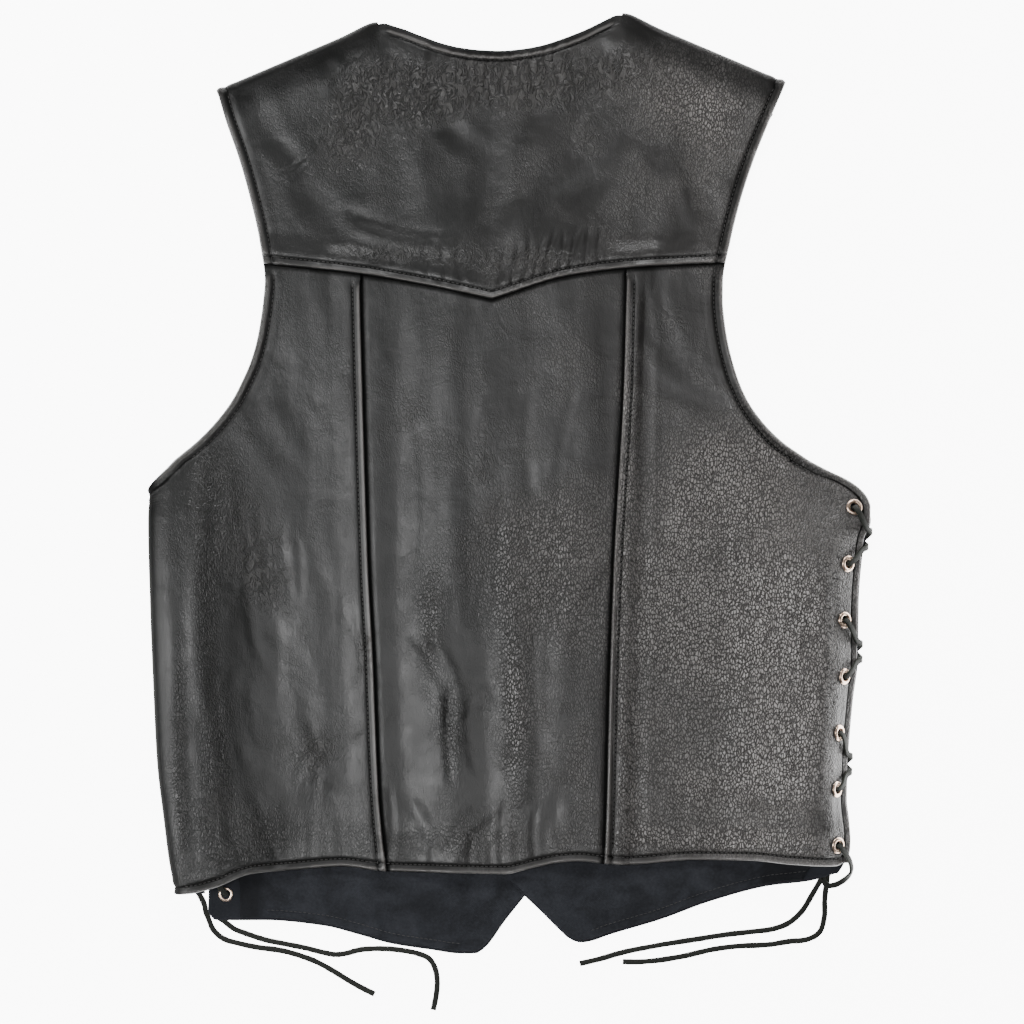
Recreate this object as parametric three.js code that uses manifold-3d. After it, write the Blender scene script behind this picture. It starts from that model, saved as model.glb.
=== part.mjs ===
// A black leather vest with laced sides, laid flat on its fronts with its back up.
// Millimetres: +X is the right of the back as it is seen, +Y is towards the neck and +Z is up.
import * as THREE from "three";
import { mergeVertices } from "three/addons/utils/BufferGeometryUtils.js";
import Module from "manifold-3d";

const wasm = await Module();
wasm.setup();

// Driving dimensions
const leather = 1.4; // thickness of every leather wall
const half = leather / 2;
const liningCloth = 0.8; // thickness of the fronts' lining
const gap = 0.4; // clearance between two pieces that touch
const lapStep = leather + gap; // how far a lapped panel is raised over the panel below it
const lap = 10; // width of a lapped seam
const restHeight = 5.2; // middle of the back's leather above the floor, where one front lies under it
const overlapRise = 2.8; // how much higher the back lies where the fronts overlap
const frontHeight = half; // middle of a front's leather, flat on the floor
const liningGap = 0.5; // clearance between a front's leather and its lining
const innerFrontRise = leather + liningGap + liningCloth + gap; // the inner front over the outer one
const stripHeight = 6.3; // middle of the left side's laced edges, over the laces under them
const innerStripRise = 5.9; // how far the right front's laced edge is turned up off the floor
const rollReach = 14; // half width of the left side's soft roll
const rollArc = 42; // length of leather round that roll
const rollUnder = 7; // flat strip under the roll, up to its laced edge
const bendArc = 14; // length of the right side's bend, where the back turns down
const stripArc = 16; // straight sloping strip from that bend to the laced edge
const laceSplit = 2.3; // gap between the two laced edges of the left side
const foldReach = 4.5; // half width of the fold over a shoulder
const foldArc = 13.5; // length of leather round that fold
const flap = 20; // the yoke's strip under the shoulder, from the fold to the shoulder seam
const eyeletInset = 13; // eyelet centre to laced edge
const eyeletPitch = 42.2;
const eyeletCount = 7;
const holeRadius = 4.4; // hole in the leather for an eyelet's barrel
const laceWidth = 4.2;
const laceThick = 2;

// Smooth curve through the rows of a short table, with no overshoot; past its ends it keeps the end values
function curve(rows, from, to) {
  const xs = rows.map((r) => r[from]);
  const ys = rows.map((r) => r[to]);
  const slopes = xs.slice(1).map((x, i) => (ys[i + 1] - ys[i]) / (x - xs[i]));
  const tangents = xs.map((_, i) => {
    if (i === 0) return slopes[0];
    if (i === xs.length - 1) return slopes[i - 1];
    const before = slopes[i - 1];
    const after = slopes[i];
    return before * after <= 0 ? 0 : (2 * before * after) / (before + after);
  });
  return (x) => {
    if (x <= xs[0]) return ys[0];
    if (x >= xs[xs.length - 1]) return ys[ys.length - 1];
    let i = 0;
    while (x > xs[i + 1]) i++;
    const w = xs[i + 1] - xs[i];
    const t = (x - xs[i]) / w;
    const a = ys[i] * (1 + 2 * t) * (1 - t) ** 2 + tangents[i] * w * t * (1 - t) ** 2;
    return a + ys[i + 1] * t * t * (3 - 2 * t) + tangents[i + 1] * w * t * t * (t - 1);
  };
}
const table = (columns, ...rows) =>
  rows
    .map((r) => Object.fromEntries(columns.map((c, i) => [c, r[i]])))
    .sort((a, b) => a[columns[0]] - b[columns[0]]);
const clamp01 = (t) => Math.min(1, Math.max(0, t));
const ease = (t) => clamp01(t) ** 2 * (3 - 2 * clamp01(t));
const fade = (t) => 1 - ease(t);
const bell = (t) => Math.exp(-t * t);

// Outline of the back, as it is seen from above
const armholeLeft = curve(
  table(
    ["y", "x"],
    [18, -252.5], [33, -234.7], [48, -220.5], [63, -209.5], [78, -201.7], [93, -195.3], [108, -191],
    [123, -188.2], [138, -186.2], [153, -185], [183, -189], [213, -195.7], [243, -204], [273, -214.3],
    [292, -219.8],
  ),
  "y",
  "x",
);
const armholeRight = curve(
  table(
    ["y", "x"],
    [18, 223.5], [33, 202.5], [48, 188], [63, 177.7], [78, 171], [93, 166.3], [108, 162.8], [123, 160.5],
    [138, 159.2], [153, 159.4], [183, 165], [213, 172.5], [243, 182.2], [273, 194.2], [297, 204.5],
  ),
  "y",
  "x",
);
const rollLine = curve(
  table(["y", "x"], [-12, -271], [-27, -271.5], [-87, -270], [-162, -267], [-207, -264.7], [-252, -259.5],
    [-282, -255.7], [-308, -250.5]),
  "y",
  "x",
);
const lacedLine = curve(
  table(["y", "x"], [-16, 270], [-28, 269.6], [-42, 264.5], [-57, 262.2], [-87, 260], [-132, 259.2],
    [-162, 255.6], [-207, 251.8], [-237, 251], [-267, 254.6], [-288, 252]),
  "y",
  "x",
);
const yokeTip = { x: -14.2, y: 138.7 };
const yokeLowLeft = curve(
  table(["x", "y"], [-188, 165.8], [-117.7, 158.2], [-67.5, 150], [yokeTip.x, yokeTip.y]),
  "x",
  "y",
);
const yokeLowRight = curve(
  table(["x", "y"], [yokeTip.x, yokeTip.y], [42, 156], [86, 162], [133.5, 165], [164, 166.5]),
  "x",
  "y",
);
const yokeLow = (x) => (x < yokeTip.x ? yokeLowLeft(x) : yokeLowRight(x));
const seamLeft = curve(
  table(["y", "x"], [165, -113.6], [65, -111], [-70, -106.5], [-124, -103.5], [-232, -99], [-290, -93.7]),
  "y",
  "x",
);
const seamRight = curve(
  table(["y", "x"], [172, 87.2], [72, 84.7], [-2, 80.3], [-55, 77.3], [-162, 73.5], [-252, 71.2], [-287, 69.7]),
  "y",
  "x",
);
const backHem = curve(
  table(["x", "y"], [-250, -307.5], [-240, -306.7], [-221, -302.2], [-195, -292.7], [-162, -290], [-127, -287.4],
    [-94, -291], [-38, -292.5], [-6, -293.2], [18.7, -288], [38, -284.3], [52.5, -283.5], [66.7, -285],
    [87, -286.3], [137, -282.8], [180, -282.8], [209, -285], [244, -286.5], [254, -284.3]),
  "x",
  "y",
);

// The neck and the two shoulder folds: where the flat back ends and the neck edge or the fold starts
const neckLeft = -99.7;
const neckRight = 83.2;
const shoulderSlope = 0.425;
const shoulderLeft = (x) => 298.1 + shoulderSlope * (x + 203.2);
const shoulderRight = (x) => 343.1 - shoulderSlope * (x - 96.7);
const neckEdge = curve(
  table(["x", "y"], [neckLeft, shoulderLeft(neckLeft)], [-83, 341.5], [-68, 337], [-53, 331.6], [-38, 328],
    [-23, 326.2], [-8, 325.6], [7, 326.8], [22, 329.4], [37, 334], [52, 339.7], [67, 345.5],
    [neckRight, shoulderRight(neckRight)]),
  "x",
  "y",
);
function topLine(x) {
  if (x < neckLeft) return shoulderLeft(x);
  return x > neckRight ? shoulderRight(x) : neckEdge(x);
}
const across = Math.hypot(1, shoulderSlope);
const outwardLeft = { x: -shoulderSlope / across, y: 1 / across };
const outwardRight = { x: shoulderSlope / across, y: 1 / across };

// Outlines of the two fronts, which the back hides except below its hem
const centreEdge = { outer: 17, inner: -16 };
const outerFrontSide = curve(
  table(["y", "x"], [-330, -226.5], [-321, -227.6], [-306, -227.2], [-282, -232.2], [-252, -236.2],
    [-207, -241.4], [-162, -243.7], [-87, -246.7], [-27, -248], [-12, -247.2], [0, -245], [18, -235], [40, -216], [63, -201],
    [100, -184.5], [138, -178.5], [176, -181.5], [213, -189.5], [243, -198.5], [272, -212.3]),
  "y",
  "x",
);
const innerFrontSide = curve(
  table(["y", "x"], [-296, 243], [-284, 250.5], [-267, 255], [-252, 254], [-237, 252.3], [-207, 253.2],
    [-162, 256.9], [-132, 260.6], [-87, 261.3], [-57, 263.6], [-42, 266], [-27, 270.4], [-16, 267],
    [-4, 254], [6, 236], [18, 213], [40, 186], [63, 170.5], [100, 157], [138, 152.5], [176, 156], [213, 165.5],
    [243, 176.5], [278, 197]),
  "y",
  "x",
);
const outerNeckline = curve(
  table(["y", "x"], [95, centreEdge.outer], [125, 12], [160, -3], [200, -23], [250, -50], [300, -78],
    [324, -91.8]),
  "y",
  "x",
);
const innerNeckline = curve(
  table(["y", "x"], [95, centreEdge.inner], [125, -11], [160, 2], [200, 17.5], [250, 39], [300, 62], [330, 75.4]),
  "y",
  "x",
);
const outerHem = curve(
  table(["x", "y"], [-228, -321], [-222, -327.5], [-184, -328], [-141, -332.2], [-114, -339], [-90, -345.7],
    [-60, -350.3], [-38, -353.2], [-27, -353.2], [-19.5, -348.7], [-4.5, -328.5], [10.5, -309.7], [18, -300]),
  "x",
  "y",
);
const innerHem = curve(
  table(["x", "y"], [-17, -279], [-4.5, -293.2], [10.5, -309.7], [23, -321.7], [38, -336.7], [45, -342.7],
    [52.5, -345], [61.5, -343.5], [72, -339.7], [112, -327.7], [151, -313.5], [194, -302.2], [223, -298.5],
    [244, -292.5]),
  "x",
  "y",
);
const seamDrop = (flap + gap) * across;
const outerShoulder = (x) => shoulderLeft(x) - seamDrop;
const innerShoulder = (x) => shoulderRight(x) - seamDrop;

// Heights along the two sides, from hem to armhole, and the slope of the right side's laced strip
const leftHeight = curve(
  table(["y", "z"], [-308, 23.5], [-252, 25.5], [-162, 25.5], [-87, 24], [-27, 20], [3, 15], [33, 9.5],
    [66, restHeight]),
  "y",
  "z",
);
const stripSlope = curve(
  table(["y", "deg"], [-290, 38], [-269, 40], [-255, 46], [-227, 54], [-187, 52], [-144, 47], [-100, 38],
    [-60, 40], [-18, 14], [-4, 7], [18, 1]),
  "y",
  "deg",
);
const lacedHeight = curve(
  table(["y", "z"], [-290, 9.5], [-30, 9.5], [0, 7.6], [18, 6.2], [60, restHeight]),
  "y",
  "z",
);
const slopeAt = (y) => THREE.MathUtils.degToRad(stripSlope(y));
const bendRadius = (y) => bendArc / slopeAt(y);
const stripSpan = (y) => bendRadius(y) * Math.sin(slopeAt(y)) + stripArc * Math.cos(slopeAt(y));
const stripDrop = (y) => bendRadius(y) * (1 - Math.cos(slopeAt(y))) + stripArc * Math.sin(slopeAt(y));
const leftCrest = (y) => rollLine(y) + rollReach;
const rightCrest = (y) => lacedLine(y) - stripSpan(y);
const rightHeight = (y) => lacedHeight(y) + stripDrop(y) * ease((60 - y) / 60);

// The largest soft folds in the back: a trough from one point to another, with its half width and depth
const folds = table(
  ["x0", "y0", "x1", "y1", "wide", "deep"],
  [8, 110, -22, -235, 22, 1.1],
  [-52, 90, -60, -200, 16, -0.9],
  [45, 30, 38, -210, 15, -0.8],
  [66, 300, 24, 185, 13, 1.0],
  [-150, 60, -178, -120, 24, 1.0],
  [165, 20, 150, -180, 26, 0.9],
  [-150, 262, -80, 205, 20, 0.8],
);
function foldHeight(x, y) {
  let z = 0;
  for (const f of folds) {
    const dx = f.x1 - f.x0;
    const dy = f.y1 - f.y0;
    const long = Math.hypot(dx, dy);
    const t = ((x - f.x0) * dx + (y - f.y0) * dy) / (long * long);
    const off = ((x - f.x0) * dy - (y - f.y0) * dx) / long;
    const past = Math.max(0, -t, t - 1) * long;
    z -= f.deep * bell(off / f.wide) * bell(past / 40);
  }
  return z;
}

// Height of the back's middle surface where it lies flat, from the floor
function backHeight(x, y) {
  const hill = ease((x + 70) / 35) * ease((85 - x) / 35) * ease((222 - y) / 50);
  const byNeck = Math.max(neckLeft + 20 - x, x - neckRight + 20);
  const shoulder = 2.6 * fade((topLine(x) - y) / 45) * ease(byNeck / 30);
  const left = (leftHeight(y) - restHeight) * fade((x - leftCrest(y)) / 85);
  const right = (rightHeight(y) - restHeight) * fade((rightCrest(y) - x) / 80);
  const calmLeft = 1 - 0.8 * fade((x - leftCrest(y)) / 40);
  const calm = ease((y + 300) / 40) * calmLeft * ease((rightCrest(y) - x) / 40);
  return restHeight + overlapRise * hill + shoulder + left + right + foldHeight(x, y) * calm;
}

// A place on the back from its flat pattern: u runs round the left roll and down the right side's strip
function onBack(u, y, lift = 0) {
  const left = leftCrest(y);
  const right = rightCrest(y);
  if (u < left) {
    const s = left - u;
    const high = (backHeight(left, y) - stripHeight) / 2;
    const turn = Math.min(1, s / rollArc) * Math.PI;
    const x = s > rollArc ? left + s - rollArc : left - rollReach * Math.sin(turn);
    return new THREE.Vector3(x, y, stripHeight + high * (1 + Math.cos(turn)));
  }
  if (u > right) {
    const s = u - right;
    const angle = slopeAt(y);
    const turn = (angle * Math.min(s, bendArc)) / bendArc;
    const rest = Math.max(0, s - bendArc);
    const x = right + bendRadius(y) * Math.sin(turn) + rest * Math.cos(angle);
    const drop = bendRadius(y) * (1 - Math.cos(turn)) + rest * Math.sin(angle);
    return new THREE.Vector3(x, y, backHeight(right, y) - drop * ease((60 - y) / 60) + lift);
  }
  return new THREE.Vector3(u, y, backHeight(u, y) + lift);
}
const wrapLeft = curve(
  table(["y", "s"], [-18, rollArc + rollUnder], [-14, 45], [-9, 34], [-3, 21], [3, 11], [10, 3], [18, -4.5]),
  "y",
  "s",
);
const sideLeft = (y) => (y > 18 ? armholeLeft(y) : leftCrest(y) - wrapLeft(y));
const wrapRight = curve(
  table(["y", "s"], [-16, bendArc + stripArc], [-10, 27.5], [-4, 22.5], [3, 13], [10, -1.5], [18, -16.7]),
  "y",
  "s",
);
const sideRight = (y) => (y > 18 ? armholeRight(y) : rightCrest(y) + wrapRight(y));

// A turned and topstitched edge: thickness over the middle surface by distance from the edge
const edgeSteps = [0, 2, 4.6, 7];
const turned = curve(
  table(["d", "over"], [0, 0.4], [2, 1.35], [4.6, 1.25], [7, 0.6], [9, half]),
  "d",
  "over",
);

// A closed wall from a sheet of points: offset both ways along its normals and closed round its boundary
function wall(points, cells, over, under) {
  const normals = points.map(() => new THREE.Vector3());
  const one = new THREE.Vector3();
  const two = new THREE.Vector3();
  for (const [a, b, c, d] of cells) {
    one.subVectors(points[c], points[a]);
    two.subVectors(points[d], points[b]);
    one.cross(two);
    for (const i of [a, b, c, d]) normals[i].add(one);
  }
  normals.forEach((n) => n.normalize());
  const n = points.length;
  const out = [
    ...points.map((p, i) => p.clone().addScaledVector(normals[i], over[i])),
    ...points.map((p, i) => p.clone().addScaledVector(normals[i], -under[i])),
  ];
  const index = [];
  const edges = new Map();
  for (const cell of cells) {
    const [a, b, c, d] = cell;
    index.push(a, b, c, a, c, d, n + a, n + c, n + b, n + a, n + d, n + c);
    cell.forEach((p, i) => {
      const q = cell[(i + 1) % 4];
      if (!edges.delete(q + "-" + p)) edges.set(p + "-" + q, [p, q]);
    });
  }
  for (const [p, q] of edges.values()) index.push(p, n + p, n + q, p, n + q, q);
  const geometry = new THREE.BufferGeometry();
  geometry.setAttribute("position", new THREE.Float32BufferAttribute(out.flatMap((p) => p.toArray()), 3));
  geometry.setIndex(index);
  return geometry;
}

// Stations across a patch: a share of its width and a distance from there
const even = (from, to, count) =>
  Array.from({ length: count }, (_, i) => ({ f: from + ((to - from) * (i + 1)) / (count + 1), d: 0 }));
const fromLow = (steps) => steps.map((d) => ({ f: 0, d }));
const fromHigh = (steps) => [...steps].reverse().map((d) => ({ f: 1, d: -d }));

// How much longer a slanting side line makes a distance straight across, up to a limit
const mostSlant = 2.2;
const steep = (line, y) => Math.min(mostSlant, Math.hypot(1, (line(y + 1) - line(y - 1)) / 2));

// A four-sided patch between a left, right, low and high line, as a sheet of cells in its own flat pattern
function patch({ left, right, low, high, columns, rows }) {
  const flat = [];
  const cells = [];
  const turnedEdge = edgeSteps.at(-1);
  const inwards = (d, line, y) => d + Math.sign(d) * Math.min(turnedEdge, Math.abs(d)) * (steep(line, y) - 1);
  for (const r of rows)
    for (const c of columns) {
      let x = left(0) + c.f * (right(0) - left(0));
      let y = 0;
      for (let pass = 0; pass < 40; pass++) {
        const l = left(y);
        const w = right(y) - l;
        const side = c.f < 0.5 ? left : right;
        x += 0.6 * ((c.at ? c.at(y) : l + c.f * w + inwards(c.d, side, y)) - x);
        const lo = low(x);
        y += 0.6 * (lo + r.f * (high(x) - lo) + r.d - y);
      }
      flat.push({ x, y });
    }
  const n = columns.length;
  for (let j = 0; j + 1 < rows.length; j++)
    for (let i = 0; i + 1 < n; i++)
      cells.push([j * n + i, j * n + i + 1, (j + 1) * n + i + 1, (j + 1) * n + i]);
  return { flat, cells };
}
const fromLine = (line, y, x) => Math.abs(x - line(y)) / Math.hypot(1, (line(y + 1) - line(y - 1)) / 2);
const fromLevel = (line, x, y) => Math.abs(y - line(x)) / Math.hypot(1, (line(x + 1) - line(x - 1)) / 2);

function sheetWall(sheet, place, over) {
  const points = sheet.flat.map(({ x, y }) => place(x, y));
  const top = sheet.flat.map(({ x, y }) => over(x, y));
  return wall(points, sheet.cells, top, top.map((t) => Math.min(half, t + 0.2)));
}

// Lapped seams: the side panels lie over the centre panel and the yoke lies over all three
const sideLift = (distance) => lapStep * fade((distance - lap) / 14);
function ridge(x, y) {
  const left = x < seamLeft(y) ? sideLift(seamLeft(y) - x - 8) : lapStep * fade((x - seamLeft(y) - 4) / 14);
  const right = x > seamRight(y) ? sideLift(x - seamRight(y) - 8) : lapStep * fade((seamRight(y) - x - 4) / 14);
  return 1.2 * Math.max(left, right);
}
const underYoke = (x, y) => ease((yokeLow(x) - y - 3) / 10);

function centrePanel() {
  const left = (y) => seamLeft(y) - lap;
  const right = (y) => seamRight(y) + lap;
  const sheet = patch({
    left,
    right,
    low: backHem,
    high: (x) => yokeLow(x) + lap,
    columns: [{ f: 0, d: 0 }, { f: 0, d: lap }, ...even(0.07, 0.93, 7), { f: 1, d: -lap }, { f: 1, d: 0 }],
    rows: [...fromLow(edgeSteps), ...even(0, 0.95, 10), { f: 1, d: -lap }, { f: 1, d: 0 }],
  });
  const over = (x, y) => {
    const open = ease((Math.min(x - seamLeft(y), seamRight(y) - x) + 2) / 6);
    return half + (turned(fromLevel(backHem, x, y)) - half) * open;
  };
  return sheetWall(sheet, (x, y) => onBack(x, y), over);
}
function sidePanel(leftSide) {
  const seam = leftSide ? seamLeft : seamRight;
  const outer = leftSide ? sideLeft : sideRight;
  const seamColumns = leftSide ? fromHigh(edgeSteps) : fromLow(edgeSteps);
  const edgeColumns = leftSide ? fromLow(edgeSteps) : fromHigh(edgeSteps);
  // Columns that keep their place on the roll or the bend, and close up where the armhole cuts across it
  const bend = leftSide ? [35, 28, 21, 13, 4, -9] : [17, 11, 5, -1, -11];
  const inwardSign = leftSide ? 1 : -1;
  const crest = leftSide ? leftCrest : rightCrest;
  const firstColumn = edgeSteps.at(-1) + 0.6;
  const nextColumn = 1.7;
  const bendColumns = bend.map((s, k) => ({
    f: leftSide ? 0.1 : 0.9,
    at: (y) => {
      const kept = (crest(y) - inwardSign * s - outer(y)) * inwardSign;
      const least = firstColumn * steep(outer, y) + nextColumn * k;
      return outer(y) + inwardSign * Math.max(kept, least);
    },
  }));
  const inner = leftSide ? even(0.3, 0.97, 4) : even(0.03, 0.72, 4);
  const columns = leftSide
    ? [...edgeColumns, ...bendColumns, ...inner, ...seamColumns]
    : [...seamColumns, ...inner, ...bendColumns.reverse(), ...edgeColumns];
  const sheet = patch({
    left: leftSide ? outer : seam,
    right: leftSide ? seam : outer,
    low: backHem,
    high: (x) => yokeLow(x) + lap,
    columns,
    rows: sideRows(leftSide),
  });
  const over = (x, y) => {
    const d = Math.min(fromLevel(backHem, x, y), fromLine(seam, y, x), fromLine(outer, y, x));
    return half + (turned(d) - half) * underYoke(x, y);
  };
  return sheetWall(sheet, (x, y) => onBack(x, y, sideLift(Math.abs(x - seam(y)))), over);
}
// Rows of a side panel, closer together round the underarm, as heights above the hem and below the yoke
function sideRows(leftSide) {
  const armhole = [...(leftSide ? [0.66, 0.7, 0.74, 0.785] : [0.65, 0.69, 0.735, 0.78]), 0.83, 0.88, 0.925];
  const underarm = leftSide ? [0.597, 0.611, 0.622, 0.634, 0.647] : [0.583, 0.597, 0.61, 0.63];
  const body = leftSide ? [0.112, 0.2, 0.287, 0.375, 0.462, 0.55] : [0.12, 0.212, 0.304, 0.396, 0.488, 0.54];
  const shares = [...body, ...underarm, ...armhole].map((f) => ({ f, d: 0 }));
  return [...fromLow(edgeSteps), ...shares, { f: 1, d: -lap }, { f: 1, d: 0 }];
}

// The yoke: a flat patch up to the neck edge and the shoulder folds, and a flap round each fold
function onYoke(x, y) {
  const above = y - yokeLow(x);
  const lift = lapStep * fade((above - lap) / 16) + ridge(x, y) * fade((above - lap) / 12);
  return new THREE.Vector3(x, y, backHeight(x, y) + lift);
}
const flapSteps = [3.4, 6.7, 10, foldArc, foldArc + flap];
function onFlap(x, s) {
  const outward = x < 0 ? outwardLeft : outwardRight;
  const crest = onYoke(x, topLine(x));
  const high = (crest.z - frontHeight) / 2;
  const turn = Math.min(1, s / foldArc) * Math.PI;
  const off = s > foldArc ? foldArc - s : foldReach * Math.sin(turn);
  return new THREE.Vector3(
    crest.x + outward.x * off,
    crest.y + outward.y * off,
    frontHeight + high * (1 + Math.cos(turn)),
  );
}
function yoke() {
  const top = 345;
  const share = (x) => (x - armholeLeft(top)) / (armholeRight(top) - armholeLeft(top));
  const at = (x, d) => ({ f: share(x), d });
  const columns = [
    ...fromLow(edgeSteps),
    ...even(0.03, share(neckLeft) - 0.03, 3),
    ...[7, 4.6, 2, 0].map((d) => at(neckLeft, -d)),
    ...even(share(neckLeft), share(yokeTip.x + 6), 2),
    { f: share(yokeTip.x + 5.5), d: 0 },
    ...even(share(yokeTip.x + 5), share(neckRight), 3),
    ...edgeSteps.map((d) => at(neckRight, d)),
    ...even(share(neckRight) + 0.03, 0.97, 3),
    ...fromHigh(edgeSteps),
  ];
  const rows = [...fromLow(edgeSteps), { f: 0, d: 13 }, ...even(0.12, 0.95, 5), ...fromHigh(edgeSteps)];
  const sheet = patch({ left: armholeLeft, right: armholeRight, low: yokeLow, high: topLine, columns, rows });
  const points = sheet.flat.map(({ x, y }) => onYoke(x, y));
  const over = sheet.flat.map(({ x, y }) => {
    const inNeck = x > neckLeft - 0.01 && x < neckRight + 0.01;
    const toNeck = inNeck
      ? fromLevel(neckEdge, x, y)
      : Math.hypot(Math.max(0, topLine(x) - y), x < 0 ? neckLeft - x : x - neckRight);
    const sides = Math.min(fromLine(armholeLeft, y, x), fromLine(armholeRight, y, x));
    return turned(Math.min(fromLevel(yokeLow, x, y), sides, toNeck));
  });
  const n = columns.length;
  const last = (rows.length - 1) * n;
  for (const leftSide of [true, false]) {
    const inFlap = (x) => (leftSide ? x < neckLeft + 0.01 : x > neckRight - 0.01);
    const crest = Array.from({ length: n }, (_, i) => last + i).filter((i) => inFlap(sheet.flat[i].x));
    let before = crest;
    for (const s of flapSteps) {
      const row = crest.map((c) => {
        const { x } = sheet.flat[c];
        points.push(onFlap(x, s));
        const side = Math.abs(x - (leftSide ? neckLeft : neckRight));
        const arm = Math.abs(x - sheet.flat[leftSide ? last : last + n - 1].x);
        over.push(s < foldArc * 0.6 ? turned(Math.min(side, arm)) : half);
        return points.length - 1;
      });
      for (let i = 0; i + 1 < row.length; i++) sheet.cells.push([before[i], before[i + 1], row[i + 1], row[i]]);
      before = row;
    }
  }
  return wall(points, sheet.cells, over, over.map((t) => Math.min(half, t + 0.2)));
}

// The fronts, flat on the floor, raised at their laced edges, and the inner one over the outer one
// The lining stands off a little where the leather slopes
const slack = (raise) => 1.8 * Math.min(1, raise * 16) * (1 - raise);
function onOuterFront(x, y, above = 0) {
  const raise = fade((x - outerFrontSide(y) - 16) / 40) * ease((40 - y) / 60);
  const cloth = above ? above + slack(raise) : 0;
  return new THREE.Vector3(x, y, frontHeight + (stripHeight - frontHeight) * raise + cloth);
}
function onInnerFront(x, y, above = 0) {
  const raise = fade((innerFrontSide(y) - x - 2) / 52) * ease((40 - y) / 60);
  const over = innerFrontRise * fade((x - centreEdge.outer - 11) / 24) * fade((y - 170) / 50);
  const cloth = above ? above + 0.7 * slack(raise) : 0;
  return new THREE.Vector3(x, y, frontHeight + innerStripRise * raise + over + cloth);
}
function front(outer, place, above, inset, thick) {
  const side = outer ? outerFrontSide : innerFrontSide;
  const centre = outer ? outerNeckline : innerNeckline;
  const sideIn = (y) => side(y) + (outer ? 1 : -1) * (inset ? inset.side : 0);
  const centreIn = (y) => centre(y) + (outer ? -1 : 1) * (inset ? inset.edge : 0);
  const hem = outer ? outerHem : innerHem;
  const shoulder = outer ? outerShoulder : innerShoulder;
  const allSteps = outer ? [0, 16, 27, 36, 46, 58] : [0, 7, 13, 19, 28, 38, 48, 58];
  const sideSteps = allSteps.filter((d) => !inset || d > inset.side);
  const centreSteps = outer ? [0] : [0, 36, 45, 53, 62].map((d) => Math.max(0, d - (inset ? inset.edge : 0)));
  const sideColumns = inset ? [0, ...sideSteps.map((d) => d - inset.side)] : sideSteps;
  const middle = even(0.25, 0.95, 3);
  const columns = outer
    ? [...fromLow(sideColumns), ...middle, ...fromHigh(centreSteps)]
    : [...fromLow(centreSteps), ...even(0.3, 0.75, 2), ...fromHigh(sideColumns)];
  const rows = [0, 0.03, 0.1, 0.22, 0.36, 0.44, 0.47, 0.5, 0.54, 0.6, 0.68, 0.78, 0.89, 1];
  const sheet = patch({
    left: outer ? sideIn : centreIn,
    right: outer ? centreIn : sideIn,
    low: (x) => hem(x) + (inset ? inset.edge : 0),
    high: (x) => shoulder(x) - (inset ? inset.top : 0),
    columns,
    rows: rows.map((f) => ({ f, d: 0 })),
  });
  const points = sheet.flat.map(({ x, y }) => place(x, y, above));
  const offset = points.map(() => thick / 2);
  return wall(points, sheet.cells, offset, offset);
}

// Round things set through the leather: the frame at a place on a surface, with its outward side as z
function frameOn(place, u, y, outward) {
  const at = place(u, y);
  const along = place(u + 0.5, y).sub(place(u - 0.5, y)).normalize();
  const up = place(u, y + 0.5).sub(place(u, y - 0.5)).normalize();
  const normal = along.clone().cross(up).normalize().multiplyScalar(outward);
  const cross = normal.clone().cross(along).normalize();
  return new THREE.Matrix4().makeBasis(along, cross, normal).setPosition(at);
}
const eyeletRows = (first) => Array.from({ length: eyeletCount }, (_, i) => first - i * eyeletPitch);
const backLeftRows = eyeletRows(-41);
const frontLeftRows = eyeletRows(-55);
const backRightRows = eyeletRows(-17.5);
const frontRightRows = eyeletRows(-23);
const laced = {
  back_left: backLeftRows.map((y) => frameOn(onBack, leftCrest(y) - rollArc - rollUnder + eyeletInset, y, 1)),
  back_right: backRightRows.map((y) => frameOn(onBack, rightCrest(y) + bendArc + stripArc - eyeletInset, y, 1)),
  front_left: frontLeftRows.map((y) => frameOn(onOuterFront, outerFrontSide(y) + eyeletInset, y, -1)),
  front_right: frontRightRows.map((y) => frameOn(onInnerFront, innerFrontSide(y) - eyeletInset, y, -1)),
};

// Cutting with closed solids
function solidOf(geometry) {
  const bare = geometry.clone();
  bare.deleteAttribute("normal");
  bare.deleteAttribute("uv");
  const merged = mergeVertices(bare, 1e-4);
  return new wasm.Manifold(
    new wasm.Mesh({
      numProp: 3,
      vertProperties: new Float32Array(merged.attributes.position.array),
      triVerts: new Uint32Array(merged.index.array),
    }),
  );
}
function geometryOf(solid) {
  const mesh = solid.getMesh();
  const geometry = new THREE.BufferGeometry();
  geometry.setAttribute("position", new THREE.Float32BufferAttribute(mesh.vertProperties, 3));
  geometry.setIndex(new THREE.Uint32BufferAttribute(mesh.triVerts, 1));
  return geometry;
}
function drill(geometry, frames, radius, depth = 8, sides = 8) {
  let solid = solidOf(geometry);
  for (const frame of frames) {
    const drillBit = new THREE.CylinderGeometry(radius, radius, depth, sides).rotateX(Math.PI / 2);
    solid = solid.subtract(solidOf(drillBit.applyMatrix4(frame)));
  }
  return geometryOf(solid);
}
function lathe(points, sides) {
  const profile = [...points, points[0]].map(([r, z]) => new THREE.Vector2(r, z));
  return new THREE.LatheGeometry(profile, sides).rotateX(Math.PI / 2);
}
const eyeletProfile = [[3.35, -1.2], [4, -1.2], [4, 1.05], [6.2, 1.05], [3.35, 1.75]];

// Snap fasteners down the overlapping edges: a cap flush with the outer front, a post and a stud inside
const snapHeights = [60, -40, -140, -240];
const snapFrames = snapHeights.map((y) => new THREE.Matrix4().makeTranslation(0.5, y, 0));
const snapProfile = [[0, 0], [6.4, 0], [6.4, 1.1], [2.6, 1.1], [2.6, 4.6], [4.8, 4.6], [4.8, 5.5], [0, 5.5]];
const capHole = 6.8;
const postHole = 3;
const studHole = 5.2;

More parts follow.
